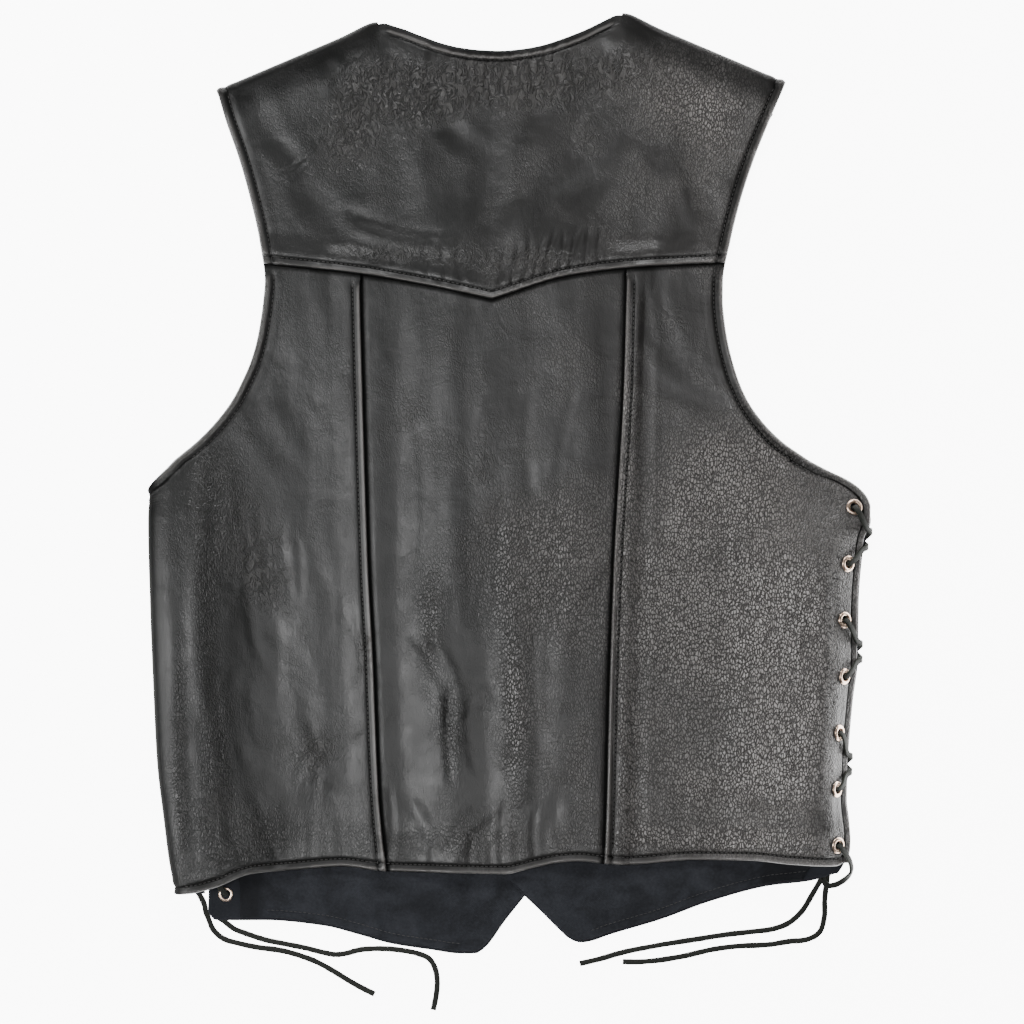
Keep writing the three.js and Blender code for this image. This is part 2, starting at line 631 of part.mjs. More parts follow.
// Laces
// A flat thong through places, each with the direction that its thin side faces, stepped evenly
function thong(places, perSpan) {
  const path = new THREE.CatmullRomCurve3(places.map((p) => p.at), false, "centripetal");
  const spans = places.length - 1;
  const steps = spans * perSpan;
  const corner = [[0.42, -0.5], [0.5, -0.22], [0.5, 0.22], [0.42, 0.5]];
  const section = [...corner, ...corner.map(([a, b]) => [-a, -b])];
  const points = [];
  const side = new THREE.Vector3();
  const turn = new THREE.Quaternion();
  const last = {}; // the section is the same turned half round, so it never turns over from one ring to the next
  for (let i = 0; i <= steps; i++) {
    const t = i / steps;
    const k = Math.min(spans - 1, Math.floor(t * spans));
    const centre = path.getPoint(t);
    const tangent = path.getTangent(t);
    const thin = places[k].thin.clone().lerp(places[k + 1].thin, t * spans - k);
    thin.addScaledVector(tangent, -thin.dot(tangent)).normalize();
    if (i > 0) {
      const carried = last.thin.applyQuaternion(turn.setFromUnitVectors(last.tangent, tangent));
      if (thin.dot(carried) < 0) thin.negate();
    }
    last.thin = thin.clone();
    last.tangent = tangent.clone();
    side.crossVectors(tangent, thin).normalize();
    for (const [a, b] of section)
      points.push(centre.clone().addScaledVector(side, a * laceWidth).addScaledVector(thin, b * laceThick));
  }
  const n = section.length;
  const index = [];
  for (let i = 0; i < steps; i++)
    for (let k = 0; k < n; k++) {
      const a = i * n + k;
      const b = i * n + ((k + 1) % n);
      index.push(a, b + n, b, a, a + n, b + n);
    }
  for (let k = 1; k + 1 < n; k++) index.push(0, k, k + 1, steps * n, steps * n + k + 1, steps * n + k);
  const geometry = new THREE.BufferGeometry();
  geometry.setAttribute("position", new THREE.Float32BufferAttribute(points.flatMap((p) => p.toArray()), 3));
  geometry.setIndex(index);
  return geometry;
}
const vec = (x, y, z) => new THREE.Vector3(x, y, z);
const axisOf = (frame) => new THREE.Vector3().setFromMatrixColumn(frame, 2);
const originOf = (frame) => new THREE.Vector3().setFromMatrixPosition(frame);

// One strand of a criss-cross lace, from the middle of its top bar: through every second eyelet of each edge,
// over the edges outside and straight across inside. "crossing" gives the places over the edges.
function strand(first, second, { bar, barThin, inside, crossing, end }) {
  const overFlange = 3.6; // middle of the thong above the leather's middle, where it lies on an eyelet
  const eyelets = first.map((frame, i) => (i % 2 === 0 ? frame : second[i]));
  const ends = originOf(first[0]).sub(originOf(second[0])).normalize();
  const middleOf = (a, b) => originOf(a).add(originOf(b)).multiplyScalar(0.5);
  const places = [{ at: middleOf(first[0], second[0]).add(bar).addScaledVector(ends, 0.25), thin: barThin }];
  eyelets.forEach((frame, i) => {
    const normal = axisOf(frame);
    const centre = originOf(frame);
    const out = (along, height) => centre.clone().add(along).addScaledVector(normal, height);
    const towards = (goal) => {
      const way = goal.clone().sub(centre);
      return way.addScaledVector(normal, -way.dot(normal)).normalize();
    };
    const none = vec(0, 0, 0);
    const next = eyelets[i + 1];
    if (i % 2 === 0) {
      const back = i ? towards(originOf(eyelets[i - 1])) : towards(originOf(second[0]));
      const over = next ? crossing(i, true) : end;
      const ahead = towards(over[0].at);
      places.push({ at: out(none, -2.4), thin: back });
      places.push({ at: out(none, 2.1), thin: ahead.clone().negate() });
      places.push({ at: out(ahead.clone().multiplyScalar(4.8), overFlange), thin: normal });
      places.push(...over);
    } else {
      const back = towards(places.at(-1).at);
      const ahead = towards(originOf(next));
      places.push({ at: out(back.clone().multiplyScalar(4.8), overFlange), thin: normal });
      places.push({ at: out(none, 2.1), thin: back.clone().negate() });
      places.push({ at: out(none, -2.4), thin: ahead });
      places.push({ at: middleOf(frame, next).add(inside), thin: barThin });
    }
  });
  return places;
}

// Free tails on the floor, from under the fronts' hems to their cut ends, and the strands' last stretch to them
const onFloor = laceThick / 2 + 0.1;
const flatRoute = (...rows) => rows.map(([x, y, z = onFloor]) => ({ at: vec(x, y, z), thin: vec(0, 0, 1) }));
const tails = {
  left_a: flatRoute(
    [-228, -325.5], [-224, -335], [-216, -342], [-204, -345.6], [-192, -348.2], [-173, -350.8], [-161, -353.9],
    [-146, -359.5], [-133, -366.6], [-121, -374], [-110, -380], [-102.7, -383.6],
  ),
  left_b: flatRoute(
    [-216, -328.5], [-208, -334.6], [-197, -338.8], [-184, -343], [-168, -346.2], [-154.5, -348.9], [-141, -352.3],
    [-132.7, -353.8], [-125, -353.2], [-113, -350.2], [-98, -349.4], [-85, -350.3], [-70.5, -353], [-61.5, -357],
    [-57, -364.5], [-55.5, -373.5], [-56.2, -384], [-58.5, -395.5],
  ),
  right_a: flatRoute(
    [231.7, -299.5, 3.4], [226, -309.5, 1.7], [219, -321], [209, -330], [197, -334.6], [180, -336.8], [161, -339],
    [137, -342.7], [109, -347.2], [84, -352.2], [65, -357.6], [51.7, -360.7],
  ),
  right_b: flatRoute(
    [237.6, -297.7], [236, -312], [235.6, -326], [232, -337], [223, -342.4], [209, -344], [194, -346.4],
    [170, -347.6], [151.5, -350], [130, -355], [109, -358.4], [94, -359.4], [84, -359.2],
  ),
};
const endRoute = {
  left_a: flatRoute([-240, -301.5, 3.2], [-234, -309, 2.2], [-230.4, -317, 1.3]),
  left_b: flatRoute([-214.6, -317, 1.9]),
  right_a: [
    { at: vec(254.6, -284, 12), thin: vec(1, -0.3, 0.6).normalize() },
    { at: vec(255.4, -291, 8), thin: vec(1, -1, 0.2).normalize() },
    { at: vec(250.5, -297.4, 4.8), thin: vec(0.3, -0.4, 1).normalize() },
    ...flatRoute([243, -301.4, 3.6], [237, -301.4, 3.5]),
  ],
  right_b: flatRoute([239.6, -283.5, 1.6], [238.6, -291, 1.2]),
};
for (const [key, [start, onward]] of Object.entries(tails)) {
  const way = onward.at.clone().sub(start.at).normalize();
  for (const before of [4.5, gap + 0.1])
    endRoute[key].push({ at: start.at.clone().addScaledVector(way, -before), thin: vec(0, 0, 1) });
}

// Over the edges on the right: down over the back's edge, round both edges and up under the front's
const upperShare = 5.4; // one strand turns round the edges this far above the middle, the other this far below
function roundTheEdge(fromBack) {
  return (i) => {
    const y = (backRightRows[i] + frontRightRows[i + 1]) / 2 + (fromBack ? upperShare : -upperShare);
    const edge = onBack(rightCrest(y) + bendArc + stripArc, y);
    const x = Math.max(edge.x, innerFrontSide(y));
    const under = fromBack ? 4.3 : 1.3;
    const turn = fromBack ? -1 : 1;
    const places = [
      { at: vec(edge.x + 1.5, y + 1.5 * -turn, edge.z + 3.8), thin: vec(0.8, 0, 0.7).normalize() },
      { at: vec(x + 3.6, y, 7.4), thin: vec(1, 0, 0) },
      { at: vec(x + 0.4, y + 2 * turn, under), thin: vec(0.4, 0, -1).normalize() },
      { at: vec(x - 5.5, y + 8 * turn, under - (fromBack ? 0.7 : 0)), thin: vec(0, 0, -1) },
    ];
    return fromBack ? places : places.reverse();
  };
}
// Under the two edges on the left, one strand over the other
function underTheEdges(fromBack) {
  return (i) => {
    const from = fromBack ? backLeftRows[i] : frontLeftRows[i];
    const to = fromBack ? frontLeftRows[i + 1] : backLeftRows[i + 1];
    const y = (from + to) / 2;
    return [{ at: vec(outerFrontSide(y) - laceSplit / 2, y, fromBack ? 3.75 : 1.3), thin: vec(0, 0, -1) }];
  };
}
const strands = {
  left_a: strand(laced.back_left, laced.front_left, {
    bar: vec(0, 0, 4.5),
    barThin: vec(0, 0, 1),
    inside: vec(0, 0, 4.4),
    crossing: underTheEdges(true),
    end: endRoute.left_a,
  }),
  left_b: strand(laced.front_left, laced.back_left, {
    bar: vec(0, 0, 4.5),
    barThin: vec(0, 0, 1),
    inside: vec(0, 0, 7.4),
    crossing: underTheEdges(false),
    end: endRoute.left_b,
  }),
  right_a: strand(laced.back_right, laced.front_right, {
    bar: vec(0, 0, 0),
    barThin: vec(1, 0, 0),
    inside: vec(-1, 0, 4),
    crossing: roundTheEdge(true),
    end: endRoute.right_a,
  }),
  right_b: strand(laced.front_right, laced.back_right, {
    bar: vec(0, 0, 0),
    barThin: vec(1, 0, 0),
    inside: vec(-9.5, 0, -3.4),
    crossing: roundTheEdge(false),
    end: endRoute.right_b,
  }),
};

const root = new THREE.Group();
const blackLeather = new THREE.MeshStandardMaterial({ color: 0x363634, roughness: 0.55, metalness: 0 });
const darkLining = new THREE.MeshStandardMaterial({ color: 0x2a2d36, roughness: 0.9, metalness: 0 });
const paleMetal = new THREE.MeshStandardMaterial({ color: 0xd9b99c, roughness: 0.3, metalness: 1 });
const laceLeather = new THREE.MeshStandardMaterial({ color: 0x1c1b1a, roughness: 0.7, metalness: 0 });
function add(name, geometry, material, matrix) {
  const mesh = new THREE.Mesh(geometry, material);
  mesh.name = name;
  if (matrix) mesh.applyMatrix4(matrix);
  root.add(mesh);
}

add("back_yoke", yoke(), blackLeather);
add("back_centre", centrePanel(), blackLeather);
add("back_side_left", drill(sidePanel(true), laced.back_left, holeRadius), blackLeather);
add("back_side_right", drill(sidePanel(false), laced.back_right, holeRadius), blackLeather);
const outerFront = drill(front(true, onOuterFront, 0, null, leather), laced.front_left, holeRadius);
const innerFront = drill(front(false, onInnerFront, 0, null, leather), laced.front_right, holeRadius);
add("front_left", drill(outerFront, snapFrames, capHole, 5, 12), blackLeather);
add("front_right", drill(innerFront, snapFrames, postHole, 12), blackLeather);
const liningAbove = half + liningGap + liningCloth / 2;
const liningInset = { side: 24, edge: 2, top: 9 };
const outerLining = front(true, onOuterFront, liningAbove, liningInset, liningCloth);
const innerLining = front(false, onInnerFront, liningAbove, liningInset, liningCloth);
add("lining_left", drill(outerLining, snapFrames, postHole, 12), darkLining);
add("lining_right", drill(innerLining, snapFrames, studHole, 14), darkLining);
for (const [edge, frames] of Object.entries(laced))
  frames.forEach((frame, i) => {
    add("eyelet_" + edge + "_" + (i + 1), lathe(eyeletProfile, edge === "back_right" ? 12 : 8), paleMetal, frame);
  });
snapFrames.forEach((frame, i) => add("snap_" + (i + 1), lathe(snapProfile, 8), paleMetal, frame));
for (const key of Object.keys(tails)) {
  add("lace_" + key, thong(strands[key], 1), laceLeather);
  add("lace_tail_" + key, thong(tails[key], 1), laceLeather);
}

export default root;
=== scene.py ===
"""A black leather vest with laced sides, laid flat with its back up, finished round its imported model.

Shapes are worked out in millimetres on each piece's flat pattern and are made in metres.
"""
import math

import bmesh
import bpy
import numpy as np
from bpy.props import FloatProperty, FloatVectorProperty, IntProperty, PointerProperty
from mathutils import Matrix, Vector, noise


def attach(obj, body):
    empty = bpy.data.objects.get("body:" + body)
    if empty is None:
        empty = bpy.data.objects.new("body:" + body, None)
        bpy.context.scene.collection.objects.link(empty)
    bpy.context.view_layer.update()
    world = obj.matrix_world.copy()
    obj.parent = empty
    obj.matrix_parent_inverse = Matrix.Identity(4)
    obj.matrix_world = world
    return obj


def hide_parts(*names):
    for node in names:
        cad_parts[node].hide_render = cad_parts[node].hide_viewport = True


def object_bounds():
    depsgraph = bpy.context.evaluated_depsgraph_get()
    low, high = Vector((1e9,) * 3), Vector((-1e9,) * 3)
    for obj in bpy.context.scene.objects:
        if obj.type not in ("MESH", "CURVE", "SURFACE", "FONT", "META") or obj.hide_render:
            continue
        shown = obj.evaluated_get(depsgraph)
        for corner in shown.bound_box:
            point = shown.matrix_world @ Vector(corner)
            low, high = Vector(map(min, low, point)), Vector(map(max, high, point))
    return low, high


bl_info = {
    "name": "Laced leather vest",
    "version": (1, 0, 0),
    "blender": (4, 5, 0),
    "location": "3D View > Sidebar > Vest",
    "description": "Finishes the panels, laces and fittings of a laced leather vest round its packed model",
    "category": "Add Mesh",
}

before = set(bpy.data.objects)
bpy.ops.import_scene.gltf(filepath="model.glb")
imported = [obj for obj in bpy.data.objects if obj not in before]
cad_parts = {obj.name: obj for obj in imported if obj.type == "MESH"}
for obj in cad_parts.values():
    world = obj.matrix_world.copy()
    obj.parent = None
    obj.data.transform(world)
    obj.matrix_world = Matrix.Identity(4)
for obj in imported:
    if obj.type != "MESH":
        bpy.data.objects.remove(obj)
cad_box = [list(corner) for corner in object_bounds()]
MM = 0.001

# Driving dimensions of the vest, in millimetres
leather = 1.4
half = leather / 2
lining_cloth = 0.8
gap = 0.4
lap_step = leather + gap
lap = 10
rest_height = 5.2
overlap_rise = 2.8
front_height = half
lining_gap = 0.5
inner_front_rise = leather + lining_gap + lining_cloth + gap
lining_height = half + lining_gap + lining_cloth / 2
strip_height = 6.3
inner_strip_rise = 5.9
roll_reach = 14
roll_arc = 42
roll_under = 7
bend_arc = 14
strip_arc = 16
lace_split = 2.3
fold_reach = 4.5
fold_arc = 13.5
flap = 20
eyelet_inset = 13
eyelet_pitch = 42.2
eyelet_count = 7
lace_width = 4.2
lace_thick = 2.0


def ease(t):
    t = np.clip(t, 0, 1)
    return t * t * (3 - 2 * t)


def fade(t):
    return 1 - ease(t)


def bell(t):
    return np.exp(-np.square(t))


def vec(x, y, z):
    return np.array([x, y, z], float)


def unit(v):
    return v / np.linalg.norm(v)


def steep(line, at):
    """How much longer a line is than its run, where it is crossed at a place."""
    return np.hypot(1, (line(at + 1) - line(at - 1)) / 2)


class Curve:
    """A smooth curve through a short table's rows, with no overshoot, held level past its ends."""

    def __init__(self, *rows):
        self.at, self.value = np.array(sorted(rows), float).T
        slopes = np.diff(self.value) / np.diff(self.at)
        before, after = slopes[:-1], slopes[1:]
        product = before * after
        inner = np.where(product > 0, 2 * product / np.where(product > 0, before + after, 1), 0)
        self.tangent = np.concatenate([slopes[:1], inner, slopes[-1:]])

    def __call__(self, where):
        where = np.asarray(where, float)
        i = np.clip(np.searchsorted(self.at, where) - 1, 0, len(self.at) - 2)
        wide = self.at[i + 1] - self.at[i]
        t = np.clip((where - self.at[i]) / wide, 0, 1)
        low = self.value[i] * (1 + 2 * t) * (1 - t) ** 2 + self.tangent[i] * wide * t * (1 - t) ** 2
        high = self.value[i + 1] * t * t * (3 - 2 * t) + self.tangent[i + 1] * wide * t * t * (t - 1)
        return low + high


# Outline of the back as it is seen from above: (y, x) down the sides, (x, y) along the edges across
armhole_left = Curve(
    (18, -252.5), (33, -234.7), (48, -220.5), (63, -209.5), (78, -201.7), (93, -195.3), (108, -191),
    (123, -188.2), (138, -186.2), (153, -185), (183, -189), (213, -195.7), (243, -204), (273, -214.3),
    (292, -219.8),
)
armhole_right = Curve(
    (18, 223.5), (33, 202.5), (48, 188), (63, 177.7), (78, 171), (93, 166.3), (108, 162.8), (123, 160.5),
    (138, 159.2), (153, 159.4), (183, 165), (213, 172.5), (243, 182.2), (273, 194.2), (297, 204.5),
)
roll_line = Curve(
    (-12, -271), (-27, -271.5), (-87, -270), (-162, -267), (-207, -264.7), (-252, -259.5), (-282, -255.7),
    (-308, -250.5),
)
laced_line = Curve(
    (-16, 270), (-28, 269.6), (-42, 264.5), (-57, 262.2), (-87, 260), (-132, 259.2), (-162, 255.6),
    (-207, 251.8), (-237, 251), (-267, 254.6), (-288, 252),
)
tip_x, tip_y = -14.2, 138.7
yoke_low_left = Curve((-188, 165.8), (-117.7, 158.2), (-67.5, 150), (tip_x, tip_y))
yoke_low_right = Curve((tip_x, tip_y), (42, 156), (86, 162), (133.5, 165), (164, 166.5))
seam_left = Curve((165, -113.6), (65, -111), (-70, -106.5), (-124, -103.5), (-232, -99), (-290, -93.7))
seam_right = Curve((172, 87.2), (72, 84.7), (-2, 80.3), (-55, 77.3), (-162, 73.5), (-252, 71.2), (-287, 69.7))
back_hem = Curve(
    (-250, -307.5), (-240, -306.7), (-221, -302.2), (-195, -292.7), (-162, -290), (-127, -287.4),
    (-94, -291), (-38, -292.5), (-6, -293.2), (18.7, -288), (38, -284.3), (52.5, -283.5), (66.7, -285),
    (87, -286.3), (137, -282.8), (180, -282.8), (209, -285), (244, -286.5), (254, -284.3),
)
neck_left, neck_right = -99.7, 83.2
shoulder_slope = 0.425


def yoke_low(x):
    return np.where(x < tip_x, yoke_low_left(x), yoke_low_right(x))


def shoulder_left(x):
    return 298.1 + shoulder_slope * (x + 203.2)


def shoulder_right(x):
    return 343.1 - shoulder_slope * (x - 96.7)


neck_edge = Curve(
    (neck_left, shoulder_left(neck_left)), (-83, 341.5), (-68, 337), (-53, 331.6), (-38, 328), (-23, 326.2),
    (-8, 325.6), (7, 326.8), (22, 329.4), (37, 334), (52, 339.7), (67, 345.5),
    (neck_right, shoulder_right(neck_right)),
)


def top_line(x):
    from_left = np.where(x > neck_right, shoulder_right(x), neck_edge(x))
    return np.where(x < neck_left, shoulder_left(x), from_left)


def crest_line(x):
    """The yoke's upper line, a little higher and rounded where the neck's roll meets the shoulder folds."""
    total = top_line(x)
    for corner in (neck_left, neck_right):
        off = np.abs(x - corner)
        total = total + 4.8 * bell(off / 14) - 0.42 * np.where(off < 8, (off * off / 8 + 8) / 2 - off, 0)
    return total


# Outlines of the two fronts
outer_centre, inner_centre = 17, -16
outer_front_side = Curve(
    (-330, -226.5), (-321, -227.6), (-306, -227.2), (-282, -232.2), (-252, -236.2), (-207, -241.4),
    (-162, -243.7), (-87, -246.7), (-27, -248), (-12, -247.2), (0, -245), (18, -235), (40, -216), (63, -201),
    (100, -184.5), (138, -178.5), (176, -181.5), (213, -189.5), (243, -198.5), (272, -212.3),
)
inner_front_side = Curve(
    (-296, 243), (-284, 250.5), (-267, 255), (-252, 254), (-237, 252.3), (-207, 253.2), (-162, 256.9),
    (-132, 260.6), (-87, 261.3), (-57, 263.6), (-42, 266), (-27, 270.4), (-16, 267), (-4, 254), (6, 236),
    (18, 213), (40, 186), (63, 170.5), (100, 157), (138, 152.5), (176, 156), (213, 165.5), (243, 176.5),
    (278, 197),
)
outer_neckline = Curve(
    (95, outer_centre), (125, 12), (160, -3), (200, -23), (250, -50), (300, -78), (324, -91.8),
)
inner_neckline = Curve(
    (95, inner_centre), (125, -11), (160, 2), (200, 17.5), (250, 39), (300, 62), (330, 75.4),
)
outer_hem = Curve(
    (-228, -321), (-222, -327.5), (-184, -328), (-141, -332.2), (-114, -339), (-90, -345.7), (-60, -350.3),
    (-38, -353.2), (-27, -353.2), (-19.5, -348.7), (-4.5, -328.5), (10.5, -309.7), (18, -300),
)
inner_hem = Curve(
    (-17, -279), (-4.5, -293.2), (10.5, -309.7), (23, -321.7), (38, -336.7), (45, -342.7), (52.5, -345),
    (61.5, -343.5), (72, -339.7), (112, -327.7), (151, -313.5), (194, -302.2), (223, -298.5), (244, -292.5),
)
seam_drop = (flap + gap) * math.hypot(1, shoulder_slope)

# Heights along the two sides, and the slope of the right side's laced strip
left_height = Curve(
    (-308, 23.5), (-252, 25.5), (-162, 25.5), (-87, 24), (-27, 20), (3, 15), (33, 9.5), (66, rest_height)
)
strip_slope = Curve(
    (-290, 38), (-269, 40), (-255, 46), (-227, 54), (-187, 52), (-144, 47), (-100, 38), (-60, 40), (-18, 14),
    (-4, 7), (18, 1),
)
laced_height = Curve((-290, 9.5), (-30, 9.5), (0, 7.6), (18, 6.2), (60, rest_height))


def slope_at(y):
    return np.radians(strip_slope(y))


def bend_radius(y):
    return bend_arc / slope_at(y)


def strip_drop(y):
    angle = slope_at(y)
    return bend_radius(y) * (1 - np.cos(angle)) + strip_arc * np.sin(angle)


def left_crest(y):
    return roll_line(y) + roll_reach


def right_crest(y):
    angle = slope_at(y)
    return laced_line(y) - bend_radius(y) * np.sin(angle) - strip_arc * np.cos(angle)


def right_height(y):
    return laced_height(y) + strip_drop(y) * ease((60 - y) / 60)


# The largest soft folds, as in the solids: (x0, y0, x1, y1, half width, depth)
LARGE_FOLDS = (
    (8, 110, -22, -235, 22, 1.1),
    (-52, 90, -60, -200, 16, -0.9),
    (45, 30, 38, -210, 15, -0.8),
    (66, 300, 24, 185, 13, 1.0),
    (-150, 60, -178, -120, 24, 1.0),
    (165, 20, 150, -180, 26, 0.9),
    (-150, 262, -80, 205, 20, 0.8),
)


def trough(x, y, x0, y0, x1, y1, wide, deep, bow=0.0, past=40.0, shoulders=0.0):
    """Height of one given trough, or of a ridge where its depth is negative. It may bow sideways."""
    dx, dy = x1 - x0, y1 - y0
    long = math.hypot(dx, dy)
    along = ((x - x0) * dx + (y - y0) * dy) / (long * long)
    off = ((x - x0) * dy - (y - y0) * dx) / long - bow * 4 * along * (1 - along)
    beyond = np.maximum(0, np.maximum(-along, along - 1)) * long
    shape = bell(off / wide) - shoulders * bell((np.abs(off) / wide - 1.7) / 0.7)
    return -deep * shape * bell(beyond / past)


def back_height(x, y):
    hill = ease((x + 70) / 35) * ease((85 - x) / 35) * ease((222 - y) / 50)
    by_neck = np.maximum(neck_left + 20 - x, x - neck_right + 20)
    shoulder = 2.6 * fade((top_line(x) - y) / 45) * ease(by_neck / 30)
    left = (left_height(y) - rest_height) * fade((x - left_crest(y)) / 85)
    right = (right_height(y) - rest_height) * fade((right_crest(y) - x) / 80)
    calm_left = 1 - 0.8 * fade((x - left_crest(y)) / 40)
    calm = ease((y + 300) / 40) * calm_left * ease((right_crest(y) - x) / 40)
    folds = sum(trough(x, y, *fold) for fold in LARGE_FOLDS)
    return rest_height + overlap_rise * hill + shoulder + left + right + folds * calm


def stack(x, y, z):
    return np.stack(np.broadcast_arrays(x, y, z), -1).astype(float)


def on_back(u, y, lift=0.0):
    """A place on the back from its flat pattern: u runs round the left roll and down the right strip."""
    left, right = left_crest(y), right_crest(y)
    s = np.maximum(left - u, 0)
    high = (back_height(left, y) - strip_height) / 2
    turn = np.minimum(1, s / roll_arc) * math.pi
    x = np.where(s > roll_arc, left + s - roll_arc, left - roll_reach * np.sin(turn))
    rolled = stack(x, y, strip_height + high * (1 + np.cos(turn)))
    s = np.maximum(u - right, 0)
    angle = slope_at(y)
    turn = angle * np.minimum(s, bend_arc) / bend_arc
    rest = np.maximum(0, s - bend_arc)
    x = right + bend_radius(y) * np.sin(turn) + rest * np.cos(angle)
    drop = bend_radius(y) * (1 - np.cos(turn)) + rest * np.sin(angle)
    bent = stack(x, y, back_height(right, y) - drop * ease((60 - y) / 60) + lift)
    flat = stack(u, y, back_height(u, y) + lift)
    u_here = np.broadcast_to(u, flat.shape[:-1])
    inward = np.where((u_here > right)[..., None], bent, flat)
    return np.where((u_here < left)[..., None], rolled, inward)


wrap_left = Curve((-18, roll_arc + roll_under), (-14, 45), (-9, 34), (-3, 21), (3, 11), (10, 3), (18, -4.5))
wrap_right = Curve((-16, bend_arc + strip_arc), (-10, 27.5), (-4, 22.5), (3, 13), (10, -1.5), (18, -16.7))


def side_left(y):
    return np.where(y > 18, armhole_left(y), left_crest(y) - wrap_left(y))


def side_right(y):
    return np.where(y > 18, armhole_right(y), right_crest(y) + wrap_right(y))


def ridge(x, y):
    """How far the yoke is raised over the two lapped seams under it."""
    left = np.where(
        x < seam_left(y), side_lift(seam_left(y) - x - 8), lap_step * fade((x - seam_left(y) - 4) / 14)
    )
    right = np.where(
        x > seam_right(y), side_lift(x - seam_right(y) - 8), lap_step * fade((seam_right(y) - x - 4) / 14)
    )
    return 1.2 * np.maximum(left, right)


def side_lift(distance):
    return lap_step * fade((distance - lap) / 14)


def on_side_left(u, y):
    return on_back(u, y, side_lift(np.abs(u - seam_left(y))))


def on_side_right(u, y):
    return on_back(u, y, side_lift(np.abs(u - seam_right(y))))


def on_yoke(x, y):
    above = y - yoke_low(x)
    lift = lap_step * fade((above - lap) / 16) + ridge(x, y) * fade((above - lap) / 12)
    return stack(x, y, back_height(x, y) + lift)


def on_flap(x, s):
    """A place on the yoke's strip round a shoulder fold, at the length s past the fold's top."""
    across = math.hypot(1, shoulder_slope)
    outward_x = np.where(x < 0, -shoulder_slope, shoulder_slope) / across
    crest = on_yoke(x, crest_line(x))
    high = (crest[..., 2] - front_height) / 2
    turn = np.minimum(1, s / fold_arc) * math.pi
    by_neck = bell((x - neck_left) / 11) + bell((x - neck_right) / 11)
    reach = fold_reach * (1 - 0.62 * by_neck)
    off = np.where(s > fold_arc, fold_arc - s, reach * np.sin(turn))
    off = off - 3.4 * by_neck * ease((s - 3) / fold_arc)
    z = front_height + high * (1 + np.cos(turn))
    return stack(crest[..., 0] + outward_x * off, crest[..., 1] + off / across, z)


def slack(rise):
    return 1.8 * np.minimum(1, rise * 16) * (1 - rise)


def on_outer_front(x, y, above=0.0):
    rise = fade((x - outer_front_side(y) - 16) / 40) * ease((40 - y) / 60)
    cloth = above + slack(rise) if above else 0
    return stack(x, y, front_height + (strip_height - front_height) * rise + cloth)


def on_inner_front(x, y, above=0.0):
    rise = fade((inner_front_side(y) - x - 2) / 52) * ease((40 - y) / 60)
    over = inner_front_rise * fade((x - outer_centre - 11) / 24) * fade((y - 170) / 50)
    cloth = above + 0.7 * slack(rise) if above else 0
    return stack(x, y, front_height + inner_strip_rise * rise + over + cloth)


# Creases, given in their own sizes: (x0, y0, x1, y1, half width, depth, sideways bow).
# Negative depths are ridges.
YOKE_CREASES = (
    (-30, 300, -20, 170, 22, 1.1, 6), (-150, 290, -170, 200, 18, -0.9, 5),
    (96, 300, 84, 200, 20, -1.0, -6), (150, 300, 140, 190, 14, 0.8, 4),
    (-110, 190, -60, 178, 6, -0.8, 2), (-31, 322, -33, 303, 1.9, 0.55, 1),
    (-24, 320, -27, 300, 1.7, 0.45, -1), (-17, 320, -16, 292, 2.2, 0.7, 2),
    (-8, 319, -6, 300, 1.8, 0.5, 0), (0, 319, 2, 288, 2.4, 0.75, -2), (8, 320, 9, 303, 1.7, 0.45, 1),
    (15, 321, 18, 296, 2.1, 0.6, 2), (25, 324, 27, 306, 1.8, 0.5, -1), (33, 326, 38, 300, 2.4, 0.6, 2),
    (43, 330, 47, 313, 2.0, 0.4, 0), (-44, 324, -49, 300, 2.6, 0.45, 2),
    (-60, 328, -66, 306, 3.0, 0.4, -2), (5, 173, 1, 150, 2.0, 0.6, 1), (14, 178, 9, 152, 2.2, 0.7, -1),
    (22, 176, 18, 154, 1.9, 0.6, 1), (31, 182, 27, 157, 2.3, 0.75, 1),
    (40, 180, 36, 160, 2.0, 0.55, -1), (49, 184, 45, 162, 2.2, 0.6, 1), (58, 186, 56, 165, 2.1, 0.5, 0),
    (67, 187, 66, 168, 2.0, 0.35, 1), (-40, 172, -36, 152, 2.3, 0.4, 1),
    (-52, 178, -49, 156, 2.6, 0.45, -1), (-64, 176, -62, 158, 2.4, 0.35, 1),
    (-4, 176, -8, 150, 2.4, 0.4, 1), (-167, 237, -139, 262, 1.5, 0.4, 2),
    (-160, 232, -141, 252, 1.2, 0.3, -1), (-139, 257, -112, 237, 1.3, 0.4, 2),
    (-110, 325, -76, 288, 9, -0.9, 3), (-84, 316, -60, 296, 6, 0.7, -2),
    (-128, 300, -96, 282, 7, 0.6, 3), (-58, 300, -40, 262, 8, 0.6, 3), (-10, 296, -14, 196, 11, 0.7, 4),
    (36, 300, 10, 206, 9, -0.7, -5), (84, 330, 112, 300, 9, -0.9, -3), (120, 300, 150, 262, 11, 0.7, 4),
    (92, 296, 66, 232, 10, 0.6, -6), (140, 232, 158, 196, 9, 0.6, 2),
    (-150, 214, -120, 196, 10, 0.5, 3), (-84, 236, -92, 178, 10, 0.5, -4),
    (100, 208, 96, 176, 8, 0.5, 2), (-190, 284, -170, 250, 8, 0.6, 2), (176, 288, 164, 254, 8, 0.6, -2),
    (-96, 303, -120, 276, 3.4, 0.45, 3), (-74, 296, -90, 268, 3.0, 0.4, -3),
    (-100, 288, -72, 276, 2.6, 0.35, 2), (-52, 288, -72, 262, 3.0, 0.4, 2),
    (-112, 318, -134, 296, 3.4, 0.4, 2), (60, 318, 72, 296, 3.2, 0.45, -2),
)
